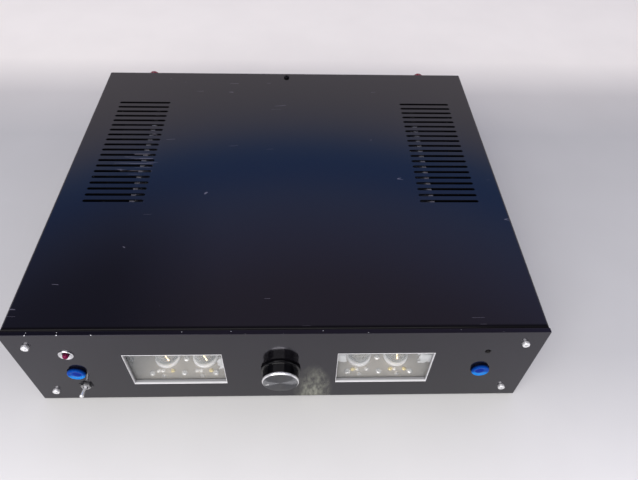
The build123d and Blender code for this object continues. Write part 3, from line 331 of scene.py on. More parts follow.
# %% [markdown]
# ## Metals
# Chrome, zinc plate, tinned brass and gold plate are all metallic shaders that differ in
# colour and in how fine their grain is. A turned face carries rings finer than a pixel. The
# shader's anisotropy stands for them: it stretches the highlight one way round the disc's axis,
# which is what makes a spun disc shine in two opposite fans.

# %% Metals
def plated(name, base, gloss, width_mm=0.6, height_mm=0.002, metallic=1.0):
    """Plated or bare metal with a fine grain; a metallic value below one leaves part of the base colour
    diffuse.
    """
    return grained(name, base, gloss, width_mm, height_mm, Metallic=metallic)


def spun_metal(name, base):
    """Face turned on a lathe: the highlight is drawn out into two fans, left and right."""
    made, tree, shader = material(name, base, Metallic=1.0, Anisotropic=1.0)
    along = add(tree, "Tangent", direction_type="RADIAL", axis="Y")
    join(tree, along.outputs[0], shader, "Tangent")
    grain(tree, shader, 0.4, (0.44, 0.52), 0.0005)
    return made


def finned(name, base, machined, edge_mm):
    """Dyed anodising on the fins; within edge_mm of the middle plane the base is left machined."""
    made, tree, shader = material(name, base, Metallic=0.5)
    where = grain(tree, shader, 0.8, (0.35, 0.5), 0.004)
    near = maths(tree, "LESS_THAN", maths(tree, "ABSOLUTE", axes(tree, where)["X"]), edge_mm * MM)
    join(tree, blend(tree, near, base, machined), shader, "Base Color")
    return made


chrome = plated("chrome_plate", "#d6d6d9", (0.05, 0.12))
zinc = plated("zinc_plate", "#b9b9b6", (0.18, 0.32))
tin = plated("tinned_brass", "#f8f6f2", (0.12, 0.25), 0.5, 0.02, 0.5)
pan_zinc = plated("bright_zinc_plate", "#f0f0ee", (0.16, 0.28), 0.6, 0.01, 0.5)
washer_steel = plated("oiled_spring_steel", "#4c4c50", (0.2, 0.35))
gold = plated("gold_plate", "#e0ab48", (0.12, 0.25))
# Pale gold: a painted reflection of the heaters' glow on a few pins.
painted_glint_gold = plated("painted_gold_glint", "#f8e49a", (0.15, 0.3), 0.6, 0.01, 0.45)
cut_mark = plated("freshly_cut_aluminium", "#f4f4f4", (0.3, 0.4), 0.5, 0.001, 0.35)
steel = plated("turned_steel", "#9b9b9c", (0.2, 0.35))
blackened = plated("blackened_steel", "#1c1c1e", (0.25, 0.4))
brass = plated("brass_spacer", "#b98f3e", (0.2, 0.35))
cap_face = spun_metal("spun_knob_face", "#68696c")
bright_rim = plated("diamond_cut_rim", "#f2f2f4", (0.22, 0.32), 0.5, 0.001, 0.85)
nickel = plated("polished_nickel", "#ececee", (0.05, 0.12), 0.6, 0.002, 0.7)
anodised = finned("anodised_sink", "#19191b", "#b4b4ba", 150.0)
anode = plated("carbonised_nickel", "#4c4b4a", (0.45, 0.6), 0.7, 0.004)
mill_sheet = plated("mill_aluminium", "#b3aca0", (0.4, 0.55), 2.5, 0.004, 0.3)
print("metals:", chrome.name, zinc.name, gold.name)

# %% [markdown]
# ## Plastics, rubber and ceramic
# Moulded plastic keeps the gloss of its mould, rubber is dull, and glazed ceramic has a clear
# coat over a white body. Base colour, roughness and coat tell them apart more than any
# pattern does.

# %% Plastics
def moulded(name, base, gloss, coat=0.0, width_mm=0.8, height_mm=0.004, level=0.5):
    """Moulded piece: an even colour, a fine grain and at times a clear coat."""
    return grained(name, base, gloss, width_mm, height_mm, Coat_Weight=coat, Coat_Roughness=0.05,
                   Specular_IOR_Level=level)


gloss_black = moulded("polished_black_knob", "#040406", (0.05, 0.10), level=0.42)
black_plastic = moulded("moulded_black", "#0d0d0e", (0.3, 0.45))
rubber = moulded("foot_rubber", "#0e0e0e", (0.7, 0.85), 0.0, 0.5, 0.02)
ceramic = moulded("glazed_ceramic", "#f0f0f2", (0.25, 0.4), 0.7, 1.5, 0.01)
receiver = moulded("infrared_window", "#040204", (0.04, 0.08), level=0.15)
stem_glass = moulded("pressed_glass_base", "#675d50", (0.1, 0.2), 0.5)
epoxy = moulded("epoxy_case", "#161616", (0.5, 0.65), 0.0, 0.4, 0.01)
sleeve = moulded("shrink_sleeve", "#10131f", (0.2, 0.3), 0.3)
tape = moulded("winding_tape", "#b98f1e", (0.25, 0.4), 0.2, 3.0, 0.03)
post_black = moulded("post_black_plastic", "#08080a", (0.12, 0.2), 0.5)
post_red = moulded("clear_red_plastic", "#6d0d12", (0.10, 0.18), 0.8)
print("plastics:", gloss_black.name, ceramic.name)

# %% [markdown]
# ## Clear blue buttons and red lamp
# Dyed clear acrylic looks bright where light comes back out of its face and nearly black at
# its sides, where the light is lost inside. That dark side is painted shade: a colour that
# deepens with the distance behind the face. A darker disc is the switch's light pipe, and the
# lower half of the face gets a painted highlight, lighter where light from above would gather.

# %% Dyed plastics with painted light and shade
BUTTON_FRONT = FACE_Y - 3.2
LAMP_FRONT = FACE_Y - 4.0
# Colours: dyed face, painted side shade, light pipe disc, painted highlight on the lower half.
BLUES = ("#003c92", "#02051a", "#00247e", "#0076cc")
REDS = ("#780440", "#3c0220", "#5c0434", "#90084a")


def dyed_with_painted_light(name, colours, middle_mm, front_mm, deep_mm, disc_mm, level):
    """Face with a darker disc round its middle (|x|, z) and a painted highlight on its lower half,
    which fades to painted side shade: share = distance behind the front / deep_mm."""
    face, depth, disc, painted_lit_colour = colours
    made, tree, shader = material(name, face, Roughness=0.1, Specular_IOR_Level=level)
    split = axes(tree, here(tree))
    # Painted shade: the colour darkens with the distance behind the face.
    behind = fade(tree, split["Y"], front_mm * MM, (front_mm + deep_mm) * MM)
    x = maths(tree, "SUBTRACT", maths(tree, "ABSOLUTE", split["X"]), middle_mm[0] * MM)
    z = maths(tree, "SUBTRACT", split["Z"], middle_mm[1] * MM)
    far = vectors(tree, "LENGTH", add(tree, "CombineXYZ", {0: x, 2: z}).outputs[0])
    inner = fade(tree, far, (disc_mm + 0.5) * MM, (disc_mm - 0.5) * MM)
    # Painted highlight: the lower half of the face is lighter.
    painted_lit_share = fade(tree, z, -1.0 * MM, -1.2 * disc_mm * MM)
    front = blend(tree, inner, blend(tree, painted_lit_share, face, painted_lit_colour), disc)
    join(tree, blend(tree, behind, front, depth), shader, "Base Color")
    return made


button_blue = dyed_with_painted_light("clear_blue_acrylic", BLUES, (170.4, 51.2), BUTTON_FRONT, 2.4, 3.6, 0.05)
lamp_red = dyed_with_painted_light("clear_red_epoxy", REDS, (171.7, 78.3), LAMP_FRONT, 3.0, 1.2, 0.12)
print("dyed:", button_blue.name, lamp_red.name)

# %% [markdown]
# ## Clear pane and valve glass
# Light has to pass the pane to reach the shelf. Alpha lets lamps shine straight through,
# which a refracting shader would not, so the pane is a faint pale film with three smears of
# old glue. Each smear is a box whose coordinates are shifted by coloured noise, by 4 mm on
# average, which tears its edges. The bulbs use the same film, denser at their rims, where one
# looks along the glass wall.

# %% Clear materials
SMEARS = [((-46.5, 2.6), (58.0, 8.0)), ((55.5, 3.8), (65.0, 5.0)), ((127.5, 5.5), (64.5, 6.5))]
TEAR_M = 0.008


def clear_pane():
    """Faint film over the view, with torn smears at the windows' edges."""
    made, tree, shader = material("clear_acrylic_pane", "#d5d8da", Roughness=0.12)
    where = here(tree)
    bent = add(tree, "TexNoise", {"Vector": where, "Scale": 160.0, "Detail": 2.0}).outputs["Color"]
    torn = vectors(tree, "MULTIPLY", bent, (TEAR_M, TEAR_M, TEAR_M))
    split = axes(tree, vectors(tree, "ADD", where, torn))
    smear = 0.0
    for x_mm, z_mm in SMEARS:
        box = maths(tree, "MULTIPLY", inside(tree, split["X"], x_mm), inside(tree, split["Z"], z_mm))
        smear = maths(tree, "MAXIMUM", box, smear)
    join(tree, fade(tree, smear, 0.0, 1.0, 0.12, 0.5), shader, "Alpha")
    return made


def valve_glass():
    """Alpha of 0.06 face on, rising to 0.45 at the rim."""
    made, tree, shader = material("blown_glass", "#dfe6e6", Roughness=0.03, Specular_IOR_Level=1.0)
    rim = add(tree, "LayerWeight", {"Blend": 0.25}).outputs["Facing"]
    join(tree, fade(tree, rim, 0.2, 1.0, 0.06, 0.45), shader, "Alpha")
    return made


pane_film = clear_pane()
bulb_glass = valve_glass()
mica = grained("mica_sheet", "#cfc4ac", (0.2, 0.4), 0.8, 0.02, Alpha=0.35, Coat_Weight=0.5)
print("clear:", pane_film.name, bulb_glass.name)

# %% [markdown]
# ## Glow, boards and iron
# Heaters glow yellow-white, so their shader emits light. A circuit board is glass cloth under
# green solder mask, with copper tracks that show as a lighter green grid. A transformer's core
# is a stack of 0.5 mm sheets, drawn as bands across the stack, 2 mm apart so that they show.

# %% Glow, boards and iron
BAND_MM = 2
GREEN = "#0f4a26"


def glowing():
    """Hot wire: yellow-white light, brighter in patches."""
    made, tree, shader = material("glowing_heater", "#ffd070", Emission_Strength=4.5)
    light = blend(tree, noise(tree, here(tree), 300.0), "#ffd68a", "#fff6dc")
    join(tree, light, shader, "Emission Color")
    return made


def solder_mask():
    """Green board: tracks are the borders of square cells, about 3 mm apart."""
    made, tree, shader = material("green_board", GREEN, Coat_Weight=0.4)
    where = grain(tree, shader, 1.0, (0.3, 0.45), 0.01)
    cells = add(tree, "TexVoronoi", {"Vector": where, "Scale": 330.0}, distance="CHEBYCHEV")
    track = maths(tree, "GREATER_THAN", cells.outputs["Distance"], 0.55)
    join(tree, blend(tree, track, GREEN, "#2a7a3e"), shader, "Base Color")
    return made


def laminated():
    """Varnished iron: a sine wave along Y draws the edges of the stacked sheets."""
    made, tree, shader = material("varnished_laminations", "#2a2a2c", Metallic=0.6)
    where = grain(tree, shader, 1.5, (0.4, 0.55), 0.01)
    bands = maths(tree, "MULTIPLY", axes(tree, where)["Y"], 2 * math.pi / (BAND_MM * MM))
    share = fade(tree, maths(tree, "SINE", bands), -1.0, 1.0)
    join(tree, blend(tree, share, "#1b1b1d", "#3d3d40"), shader, "Base Color")
    return made


heater_glow = glowing()
board_green = solder_mask()
core_iron = laminated()
print("inside:", heater_glow.name, board_green.name, core_iron.name)

# %% [markdown]
# ## Finishes on the CAD nodes
# A node whose CAD shape is right keeps it and only gets its finish. Its mesh is loose
# triangles, so a Weld modifier joins them first, and a Bevel modifier then rounds the edges
# that meet at more than 30 degrees. Real edges are never perfectly sharp, and the small round
# catches a line of light.

# %% Dress the CAD nodes
FINISH = {
    lid_coat: ["top_cover"],
    sheet_coat: ["chassis_tray", "rear_panel"],
    panel_coat: ["front_panel"],
    blackened: ["side_screws"],
    zinc: ["floor_screws", "transformer_strap", "pot_nut"],
    washer_steel: ["toggle_washer"],
    chrome: ["toggle_bushing"],
    rubber: ["rubber_feet"],
    pane_film: ["window_pane_left", "window_pane_right"],
    steel: ["pot_shaft", "volume_pot", "toggle_nut"],
    black_plastic: ["toggle_body", "button_switch_left", "button_switch_right", "mains_inlet",
                    "post_plates", "rca_plate"],
    board_green: ["button_boards", "valve_boards", "amp_board_left", "amp_board_right", "power_board"],
    mill_sheet: ["tube_shelf"],
    anodised: ["heatsink_left", "heatsink_right"],
    epoxy: ["transistors"],
    brass: ["board_spacers"],
    core_iron: ["transformer_core"],
    tape: ["transformer_winding"],
    gold: ["inlet_pins", "post_studs"],
}
BEVEL_MM = {"front_panel": 0.25, "rubber_feet": 1.0, "toggle_nut": 0.25, "toggle_washer": 0.12,
            "mains_inlet": 0.5, "post_plates": 0.6, "rca_plate": 0.4, "transformer_winding": 2.0,
            "transformer_strap": 0.4, "inlet_pins": 0.3, "volume_pot": 0.5, "rear_panel": 0.2,
            "side_screws": 0.15}
WELD_M = 0.00001
ROUNDED_DEGREES = 30


def dress(name, finish):
    """Give a CAD node its finish and, where asked, welded and rounded edges."""
    node = nodes[name]
    node.data.materials.clear()
    node.data.materials.append(finish)
    if name in BEVEL_MM:
        weld = node.modifiers.new("weld", "WELD")
        weld.merge_threshold = WELD_M
        bevel = node.modifiers.new("bevel", "BEVEL")
        bevel.width = BEVEL_MM[name] * MM
        bevel.segments = 2
        bevel.limit_method = "ANGLE"
        bevel.angle_limit = math.radians(ROUNDED_DEGREES)
        bevel.harden_normals = False


for finish, names in FINISH.items():
    for name in names:
        dress(name, finish)
print("dressed:", sum(len(names) for names in FINISH.values()), "nodes")

# %% [markdown]
# ## Surfaces from numbers
# Every new piece is a grid of points: rows along the piece, columns round it. numpy works out
# all points at once, and each cell of the grid is one four-sided face. The rows end in closed
# faces, or join up as a ring.

# %% Grids
def grid_faces(rows, columns, ring):
    """Faces of a grid that closes round its columns, and round its rows when it is a ring."""
    row = np.arange(rows if ring else rows - 1)[:, None]
    column = np.arange(columns)[None, :]
    beside = (column + 1) % columns
    start = row * columns
    after = (row + 1) % rows * columns
    corners = [start + column, start + beside, after + beside, after + column]
    return np.stack(np.broadcast_arrays(*corners), -1).reshape(-1, 4)


def end_faces(first, columns):
    """Strips of four-sided faces that close a round end whose points start at first."""
    step = np.arange(columns // 2 - 1)
    return first + np.stack([step, step + 1, columns - 2 - step, columns - 1 - step], -1)


def skin(x, y, z, ring=False):
    """Points and faces of a grid whose x, y and z are given for each row and column."""
    points = np.stack(np.broadcast_arrays(x, y, z), -1)
    rows, columns = points.shape[:2]
    faces = grid_faces(rows, columns, ring)
    if not ring:
        last = (rows - 1) * columns
        faces = np.concatenate([faces, end_faces(0, columns), end_faces(last, columns)])
    return points.reshape(-1, 3), faces


def upright(rows):
    """The columns of a table, each standing so that it spreads along a grid's rows."""
    return (column[:, None] for column in np.array(rows, float).T)


def round_angles(count):
    """Even angles round a whole turn, as one row."""
    return np.linspace(0, 2 * np.pi, count, endpoint=False)[None, :]


# %% [markdown]
# A turned piece is the simplest case, with one radius for each row. The corners of a socket
# come from stretching that radius with the angle.

# %% Turned pieces
def turned(rows, axis="Y", sides=64, ring=False):
    """Turned surface: a row (along, radius, flats) gives the point at angle t and distance
    radius / cos(angle from the middle of the nearest flat); no flats give a circle."""
    along, radius, flats = upright([(*row, 0)[:3] for row in rows])
    angle = round_angles(sides)
    part = 2 * np.pi / np.where(flats > 0, flats, 1)
    reach = np.where(flats > 0, 1 / np.cos(np.mod(angle, part) - part / 2), 1.0)
    across = radius * reach * np.cos(angle)
    up = radius * reach * np.sin(angle)
    return skin(across, along, up, ring) if axis == "Y" else skin(across, up, along, ring)


def repeated(surface, places):
    """The same surface at several places: every place plus every point."""
    points, faces = surface
    places = np.array(places, float)
    moved = (places[:, None, :] + points[None, :, :]).reshape(-1, 3)
    offsets = (np.arange(len(places)) * len(points))[:, None, None]
    return moved, (faces[None, :, :] + offsets).reshape(-1, 4)


def turned_about_y(surface, degrees):
    """Rotate points about Y, with positive angles clockwise as seen from the front."""
    points, faces = surface
    turn = math.radians(degrees)
    x = points[:, 0] * math.cos(turn) + points[:, 2] * math.sin(turn)
    z = points[:, 2] * math.cos(turn) - points[:, 0] * math.sin(turn)
    return np.stack([x, points[:, 1], z], -1), faces


# %% [markdown]
# A piece becomes an object that rides on a body of the frame. It may stand for CAD nodes, which it
# then replaces, and its one material slot holds its finish.

# %% Pieces
SAME_POINT_M = 0.000001
SHARP_DEGREES = 35


def piece(name, surface, finish, body, stands_for):
    """Make the object in metres, close and turn its faces outwards, and let it ride."""
    points, faces = surface
    mesh = bpy.data.meshes.new(name)
    mesh.from_pydata((points * MM).tolist(), [], faces.tolist())
    shape = bmesh.new()
    shape.from_mesh(mesh)
    bmesh.ops.remove_doubles(shape, verts=shape.verts, dist=SAME_POINT_M)
    bmesh.ops.recalc_face_normals(shape, faces=shape.faces)
    shape.to_mesh(mesh)
    shape.free()
    mesh.shade_smooth()
    mesh.set_sharp_from_angle(angle=math.radians(SHARP_DEGREES))
    mesh.materials.append(finish)
    made = bpy.data.objects.new(name, mesh)
    bpy.context.scene.collection.objects.link(made)
    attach(made, body)
    if stands_for:
        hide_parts(*stands_for)
    print(name, "faces:", len(mesh.polygons))


# %% [markdown]
# ## Volume knob
# The body is a polished black drum with a wider skirt at the panel. The face is a spun
# aluminium disc with a bright cut bevel. Both are turned pieces, so a profile of (y, radius)
# is all they need. Extra points beside each edge make its small radius.

# %% Volume knob
KNOB = (0, 0, 51.5)
drum = [(-193.3, 9.5), (-193.3, 16.6), (-193.5, 16.8), (-194.7, 16.8), (-194.95, 16.7), (-195.05, 16.5),
        (-195.1, 15.3), (-195.25, 15.15), (-203.2, 15.15), (-203.3, 15.05), (-203.3, 9.5)]
piece("knob_drum", repeated(turned(drum, sides=96), [KNOB]), gloss_black, "volume", ["volume_knob"])
disc = [(-203.3, 9.0), (-203.3, 15.4), (-203.4, 15.5), (-204.5, 15.5), (-204.6, 15.45), (-205.35, 14.7)]
piece("knob_rim", repeated(turned(disc, sides=96), [KNOB]), bright_rim, "volume", ["knob_cap"])
face = [(-205.3, 14.68), (-205.45, 14.6), (-205.5, 14.5), (-205.48, 10.0), (-205.46, 5.0), (-205.45, 0.6)]
piece("knob_face", repeated(turned(face, sides=96), [KNOB]), cap_face, "volume", ())

# %% [markdown]
# The index mark is a bright groove cut into the face near its rim. A thin slab, rounded in
# section, is enough. It is made along X and then turned about the knob's axis by the angle
# that the photograph shows.

# %% Knob mark
MARK_DEGREES = -194.7


def slab(x0, x1, half_z, y0, y1):
    """Rounded bar along X: an oval section carried from x0 to x1, smaller at both ends."""
    share = np.array([0.0, 0.04, 0.5, 0.96, 1.0])[:, None]
    size = np.array([0.5, 1.0, 1.0, 1.0, 0.5])[:, None]
    angle = round_angles(16)
    y = (y0 + y1) / 2 + (y1 - y0) / 2 * size * np.cos(angle)
    return skin(x0 + (x1 - x0) * share, y, half_z * size * np.sin(angle))


mark = turned_about_y(slab(10.0, 14.6, 0.85, -205.5, -205.2), MARK_DEGREES)
piece("knob_mark", repeated(mark, [KNOB]), cut_mark, "volume", ())

# %% [markdown]
# ## Lamp and its bezel
# A red lamp with a round nose sits in a chromed cone that throws its light forwards. The dome
# is a quarter circle turned about the axis, worked out from sine and cosine.

# %% Lamp and bezel
LAMP = (-171.7, 0, 78.3)
LAMP_RADIUS = 2.5
cone = [(-192.5, 6.1), (-193.0, 6.15), (-193.4, 6.0), (-193.65, 5.7), (-193.7, 5.45), (-193.6, 5.25),
        (-193.0, 4.2), (-192.6, 3.3), (-191.5, 2.7), (-185.5, 2.7), (-185.5, 4.0), (-192.4, 4.0)]
piece("lamp_bezel", repeated(turned(cone, ring=True), [LAMP]), chrome, "case", ["led_bezel"])
bow = np.linspace(0, np.pi / 2, 9)[:-1]
nose = [(-193.8 - LAMP_RADIUS * math.sin(a), LAMP_RADIUS * math.cos(a)) for a in bow]
lamp = turned([(-184.5, LAMP_RADIUS)] + nose)
piece("lamp_dome", repeated(lamp, [LAMP]), lamp_red, "case", ["led_lens"])

# %% [markdown]
# ## Blue buttons
# Each button is a clear dyed cap with a bevelled front. A shallow ring in its face marks the
# light pipe, so the profile dips by 0.15 mm at 4.6 mm from the middle.

# %% Buttons
front = BUTTON_FRONT
cap = [(-188.2, 7.6), (front + 1.0, 7.6), (front + 0.5, 7.35), (front + 0.12, 6.95), (front, 6.6),
       (front, 5.1), (front + 0.15, 4.85), (front + 0.15, 4.6), (front, 4.35), (front, 0.8)]
for side, word in ((-1, "left"), (1, "right")):
    piece("button_dome_" + word, repeated(turned(cap), [(side * 171.7, 0, 49.5)]), button_blue,
          "button_" + word, ["button_cap_" + word])

# %% [markdown]
# ## Screws
# The panel is held by bright cap screws with a hex socket, and the cover by one dark one. A
# socket is a row of six flats that goes in from the head's face, so the whole screw is one
# turned surface from its tip to the bottom of the socket. The thread is drawn as rings.

# %% Socket screws
PITCH = 0.5
THREAD_DEPTH = 0.2


def thread(tip, back, radius):
    """Rings from the tip to the head: the radius dips by 0.2 mm once in each pitch of 0.5 mm."""
    count = int(abs(back - tip) / PITCH)
    along = np.linspace(tip, back, 2 * count + 1)
    dips = np.where(np.arange(2 * count + 1) % 2 == 0, THREAD_DEPTH, 0.0)
    return [(float(a), float(radius - dip)) for a, dip in zip(along, dips)]


def socket_screw(tip, back, front, radius, key, deep, out):
    """Thread, then a head with rounded rim and a hex socket; out is -1 or 1 for its side."""
    rows = thread(tip, back, 1.5)
    rows += [(back, radius - 0.05), (back + out * 0.2, radius), (front - out * 0.7, radius)]
    rows += [(front - out * 0.2, radius - 0.25), (front, radius - 0.7), (front, key / 2 + 0.35)]
    rows += [(front - out * 0.15, key / 2, 6), (front - out * deep, key / 2, 6)]
    return rows


corner_screws = [(x, 0, z) for x in (-199, 199) for z in (17.5, 91)]
head = turned(socket_screw(-182.5, -192.5, -195.2, 3.1, 2.5, 1.3, -1), sides=48)
piece("corner_screw_heads", repeated(head, corner_screws), nickel, "case", ["panel_screws"])
lid_head = turned(socket_screw(101.0, 107.0, 108.9, 3.2, 2.5, 1.3, 1), axis="Z", sides=48)
piece("lid_screw_head", repeated(lid_head, [(0, 364.8 + FACE_Y, 0)]), blackened, "case",
      ["cover_rear_screw"])

# %% [markdown]
# ## Toggle lever
# A polished bat: thin at the pivot, swelling to a ball-like tip. It leans 13 degrees to one
# side in the switch's own frame, and the whole switch is rolled 37 degrees in the panel, so
# the profile is turned twice before it is moved to its pivot.

# %% Toggle lever
PIVOT = (-170.3, FACE_Y + 1.0, 27.0)
LEAN_DEGREES = 13
ROLL_DEGREES = 37


def leaned(surface, tilt, roll, place):
    """Turn about Z by the tilt, then about Y by the roll, then move."""
    points, faces = surface
    a = math.radians(-tilt)
    x = points[:, 0] * math.cos(a) - points[:, 1] * math.sin(a)
    y = points[:, 0] * math.sin(a) + points[:, 1] * math.cos(a)
    tilted = np.stack([x, y, points[:, 2]], -1)
    rolled, faces = turned_about_y((tilted, faces), -roll)
    return rolled + np.array(place), faces


bat = [(1.1, 0.9), (0.7, 1.3), (0.0, 1.6), (-0.7, 1.35), (-1.2, 1.1), (-3.0, 1.15), (-7.0, 1.4),
       (-9.3, 1.6), (-10.3, 1.75), (-11.0, 1.82), (-11.7, 1.72), (-12.2, 1.38), (-12.45, 0.9)]
lever = leaned(turned(bat, sides=40), LEAN_DEGREES, ROLL_DEGREES, PIVOT)
piece("toggle_bat", lever, nickel, "toggle", ["toggle_lever"])

# %% [markdown]
# ## Valve sockets and valves
# Each valve stands in a white ceramic ring. The bulb is a turned shell with a real wall, so it
# has an inner and an outer side, and its profile of (z, radius) runs up one and down the other.

# %% Sockets and bulbs
SHELF = 21.0
SEAT = 24.2
TUBES = [(side * 88 + step * 17.25, 29.5 + FACE_Y, 0) for side in (-1, 1) for step in (-1, 1)]
rim = [(SHELF - 5, 8.6), (SHELF, 8.8), (SHELF, 11.2), (SHELF + 0.3, 11.4), (SEAT - 0.5, 11.4),
       (SEAT - 0.1, 11.2), (SEAT, 10.9), (SEAT, 9.3), (SEAT - 0.2, 8.9), (SEAT - 1.3, 8.7),
       (SEAT - 1.4, 8.0), (SEAT - 1.4, 1.0)]
piece("ceramic_sockets", repeated(turned(rim, axis="Z"), TUBES), ceramic, "case", ["tube_sockets"])
arc = np.linspace(0, np.pi / 2, 8)
outer = [(SEAT, 8.4), (SEAT + 1.0, 8.45)]
outer += [(SEAT + 1.0 + 1.6 * math.sin(a), 10.8 - 2.3 * math.cos(a)) for a in arc]
outer += [(67.2 + 4.6 * math.sin(a), 4.4 + 6.4 * math.cos(a)) for a in arc]
outer += [(72.4, 3.0), (73.0, 1.6), (73.2, 0.5)]
inner = [(z - 0.5 if z > 60 else z + 0.3, max(r - 0.8, 0.3)) for z, r in reversed(outer)]
bulb = turned(outer + inner, axis="Z", sides=48, ring=True)
piece("glass_bulbs", repeated(bulb, TUBES), bulb_glass, "case", ["tube_bulbs"])

# %% [markdown]
# Inside each bulb are two grey anodes between mica sheets. The anodes are pressed sheet boxes
# with rounded corners and two ribs. A superellipse gives such a section: cosine and sine are
# raised to a power below one, which squares the oval off.

# %% Anodes and micas
def pressed_box(half_x, half_y, rows, power):
    """Section x = a |cos t|^p, y = b |sin t|^p with their signs, scaled at each height."""
    height, size = upright(rows)
    cos, sin = np.cos(round_angles(40)), np.sin(round_angles(40))
    x = half_x * size * np.sign(cos) * np.abs(cos) ** power
    y = half_y * size * np.sign(sin) * np.abs(sin) ** power
    return skin(x, y, height)


ribs = [(34.2, 0.9), (34.4, 1.0), (38.0, 1.0), (38.6, 0.86), (39.2, 1.0), (45.2, 1.0), (45.8, 0.86),
        (46.4, 1.0), (56.0, 1.0), (56.2, 0.9)]
half_anode = pressed_box(3.4, 2.9, ribs, 0.5)
spots = [(x + dx, y, z) for x, y, z in TUBES for dx in (-3.9, 3.9)]
piece("anode_boxes", repeated(half_anode, spots), anode, "case", ["tube_plates"])
plate = pressed_box(9.0, 9.0, [(0.0, 0.98), (0.1, 1.0), (0.4, 1.0), (0.5, 0.98)], 0.8)
levels = [(x, y, z) for x, y, _ in TUBES for z in (33.7, 56.2)]
piece("mica_plates", repeated(plate, levels), mica, "case", ["tube_micas"])

# %% [markdown]
# Each bulb ends below in a pressed glass base. Nine wires pass it, 36 degrees apart with one
# place left free, and a leaning hot wire glows beside the anodes.

# %% Glass bases, wires and heaters
WIRE_CIRCLE = 5.9
HEATERS = [(1.8, -6.2), (1.5, -6.2), (0.5, 2.5), (0.0, -6.2)]
stem = [(24.6, 1.0), (24.5, 6.9), (24.7, 7.3), (25.6, 7.4), (26.2, 7.2), (26.4, 6.4), (26.4, 1.0)]
piece("glass_bases", repeated(turned(stem, axis="Z", sides=48), TUBES), stem_glass, "case", ["tube_bulbs"])
wire = turned([(23.0, 0.25), (23.3, 0.45), (33.4, 0.45), (33.6, 0.25)], axis="Z", sides=12)
angles = [math.radians(36 * k) for k in range(9)]
ring = [(WIRE_CIRCLE * math.cos(a), WIRE_CIRCLE * math.sin(a)) for a in angles]
spots = [(x + dx, y + dy, z) for x, y, z in TUBES for dx, dy in ring]
piece("base_wires", repeated(wire, spots), steel, "case", ["tube_heaters"])
hot, hot_faces = turned([(SEAT + 2.1, 0.3), (SEAT + 2.4, 0.5), (34.0, 0.5), (34.2, 0.3)], axis="Z", sides=12)
hot[:, 0] -= 0.2 * (hot[:, 2] - 30)
spots = [(x + dx, y + dy, z) for (x, y, z), (dx, dy) in zip(TUBES, HEATERS)]
piece("heater_leads", repeated((hot, hot_faces), spots), heater_glow, "case", ["tube_heaters"])

# %% [markdown]
# ## Small metal on the shelf
# Pan-head screws with a cross recess hold the boards. The cross is a radius that shrinks four
# times in a turn, cut into the dome's top.

# %% Shelf screws
def cross_screw():
    """Thread and pan head; the last three rows shrink to a third, four times in a turn."""
    pan = [(21.0, 2.5), (21.2, 2.7), (21.9, 2.65), (22.4, 2.2), (22.7, 1.75)]
    recess = [(22.75, 1.6), (21.9, 1.5), (21.8, 0.8)]
    rows = thread(16.0, 21.0, 1.5) + pan + recess
    height, radius = upright(rows)
    crossed = (np.arange(len(rows)) >= len(rows) - len(recess)).astype(int)[:, None]
    angle = round_angles(48)
    star = 0.32 + 0.68 * np.abs(np.cos(2 * angle)) ** 6
    radius = radius * (1 + crossed * (star - 1))
    return skin(radius * np.cos(angle), radius * np.sin(angle), height)


screws = [(middle + step * 28.6, 13.5 + FACE_Y, 0) for middle in (-88, 88) for step in (-1, 0, 1)]
screws += [(middle, 28.0 + FACE_Y, 0) for middle in (-88, 88)]
piece("shelf_screw_heads", repeated(cross_screw(), screws), pan_zinc, "case", ["shelf_screws"])

# %% [markdown]
# Soldered pins stand in front of each socket, four to a valve. A few of them are coloured gold as a
# painted reflection of the heaters' glow; the list below names them, valve by valve.

# %% Pins in front of the sockets
PINS = [(-6.3, 16.0), (-2.2, 16.0), (-0.8, 11.2), (6.6, 16.0)]
GLINT_PINS = ((3,), (3,), (0,), (0, 3))
pin = turned([(21.0, 2.05), (21.25, 2.0), (21.75, 1.5), (22.15, 1.05), (22.5, 0.85), (23.0, 0.75),
              (23.3, 0.55), (23.4, 0.15)], axis="Z", sides=20)
spots = {True: [], False: []}
for (x, _, _), glinting in zip(TUBES, GLINT_PINS):
    for i, (dx, y) in enumerate(PINS):
        spots[i in glinting].append((x + dx, y + FACE_Y, 0))
piece("solder_pins", repeated(pin, spots[False]), tin, "case", ["tag_pins"])
# These pins are coloured gold as a painted glint of the heaters' glow.
piece("glow_glint_pins", repeated(pin, spots[True]), painted_glint_gold, "case", ["tag_pins"])

# %% [markdown]
# ## Infrared receiver
# A small dark dome on a square body, which is a turned piece with four flats.

# %% Receiver
body_rows = [(-184.5, 3.3, 4), (-184.6, 3.5, 4), (-188.4, 3.5, 4), (-188.5, 3.3, 4), (-188.5, 2.2)]
bulge = [(-192.5 - 1.4 * math.sin(a), 2.2 * math.cos(a)) for a in arc[:-1]]
squared = turned_about_y(turned(body_rows + bulge, sides=40), 45)
piece("receiver_dome", repeated(squared, [(171.7, 0, 78.0)]), receiver, "case", ["ir_sensor"])

# %% [markdown]
# ## Loudspeaker posts
# The posts have scalloped caps: their radius falls a little, twelve times in a turn, so that
# fingers can grip them. The third number of a row tells how much of that dip it takes.

# %% Loudspeaker posts
def scalloped():
    """Cap along Y whose radius dips by 0.7 mm twelve times a turn, with smooth ends and a bore."""
    rows = [(184.0, 3.2, 0), (184.0, 6.0, 0), (184.4, 6.4, 0), (185.6, 6.4, 0), (186.6, 6.45, 1),
            (203.6, 6.45, 1), (204.6, 6.4, 0), (205.2, 6.1, 0), (205.5, 5.4, 0), (205.5, 3.2, 0)]
    along, radius, share = upright(rows)
    angle = round_angles(96)
    radius = radius - 0.7 * share * np.abs(np.sin(6 * angle)) ** 1.5
    return skin(radius * np.cos(angle), along, radius * np.sin(angle), ring=True)


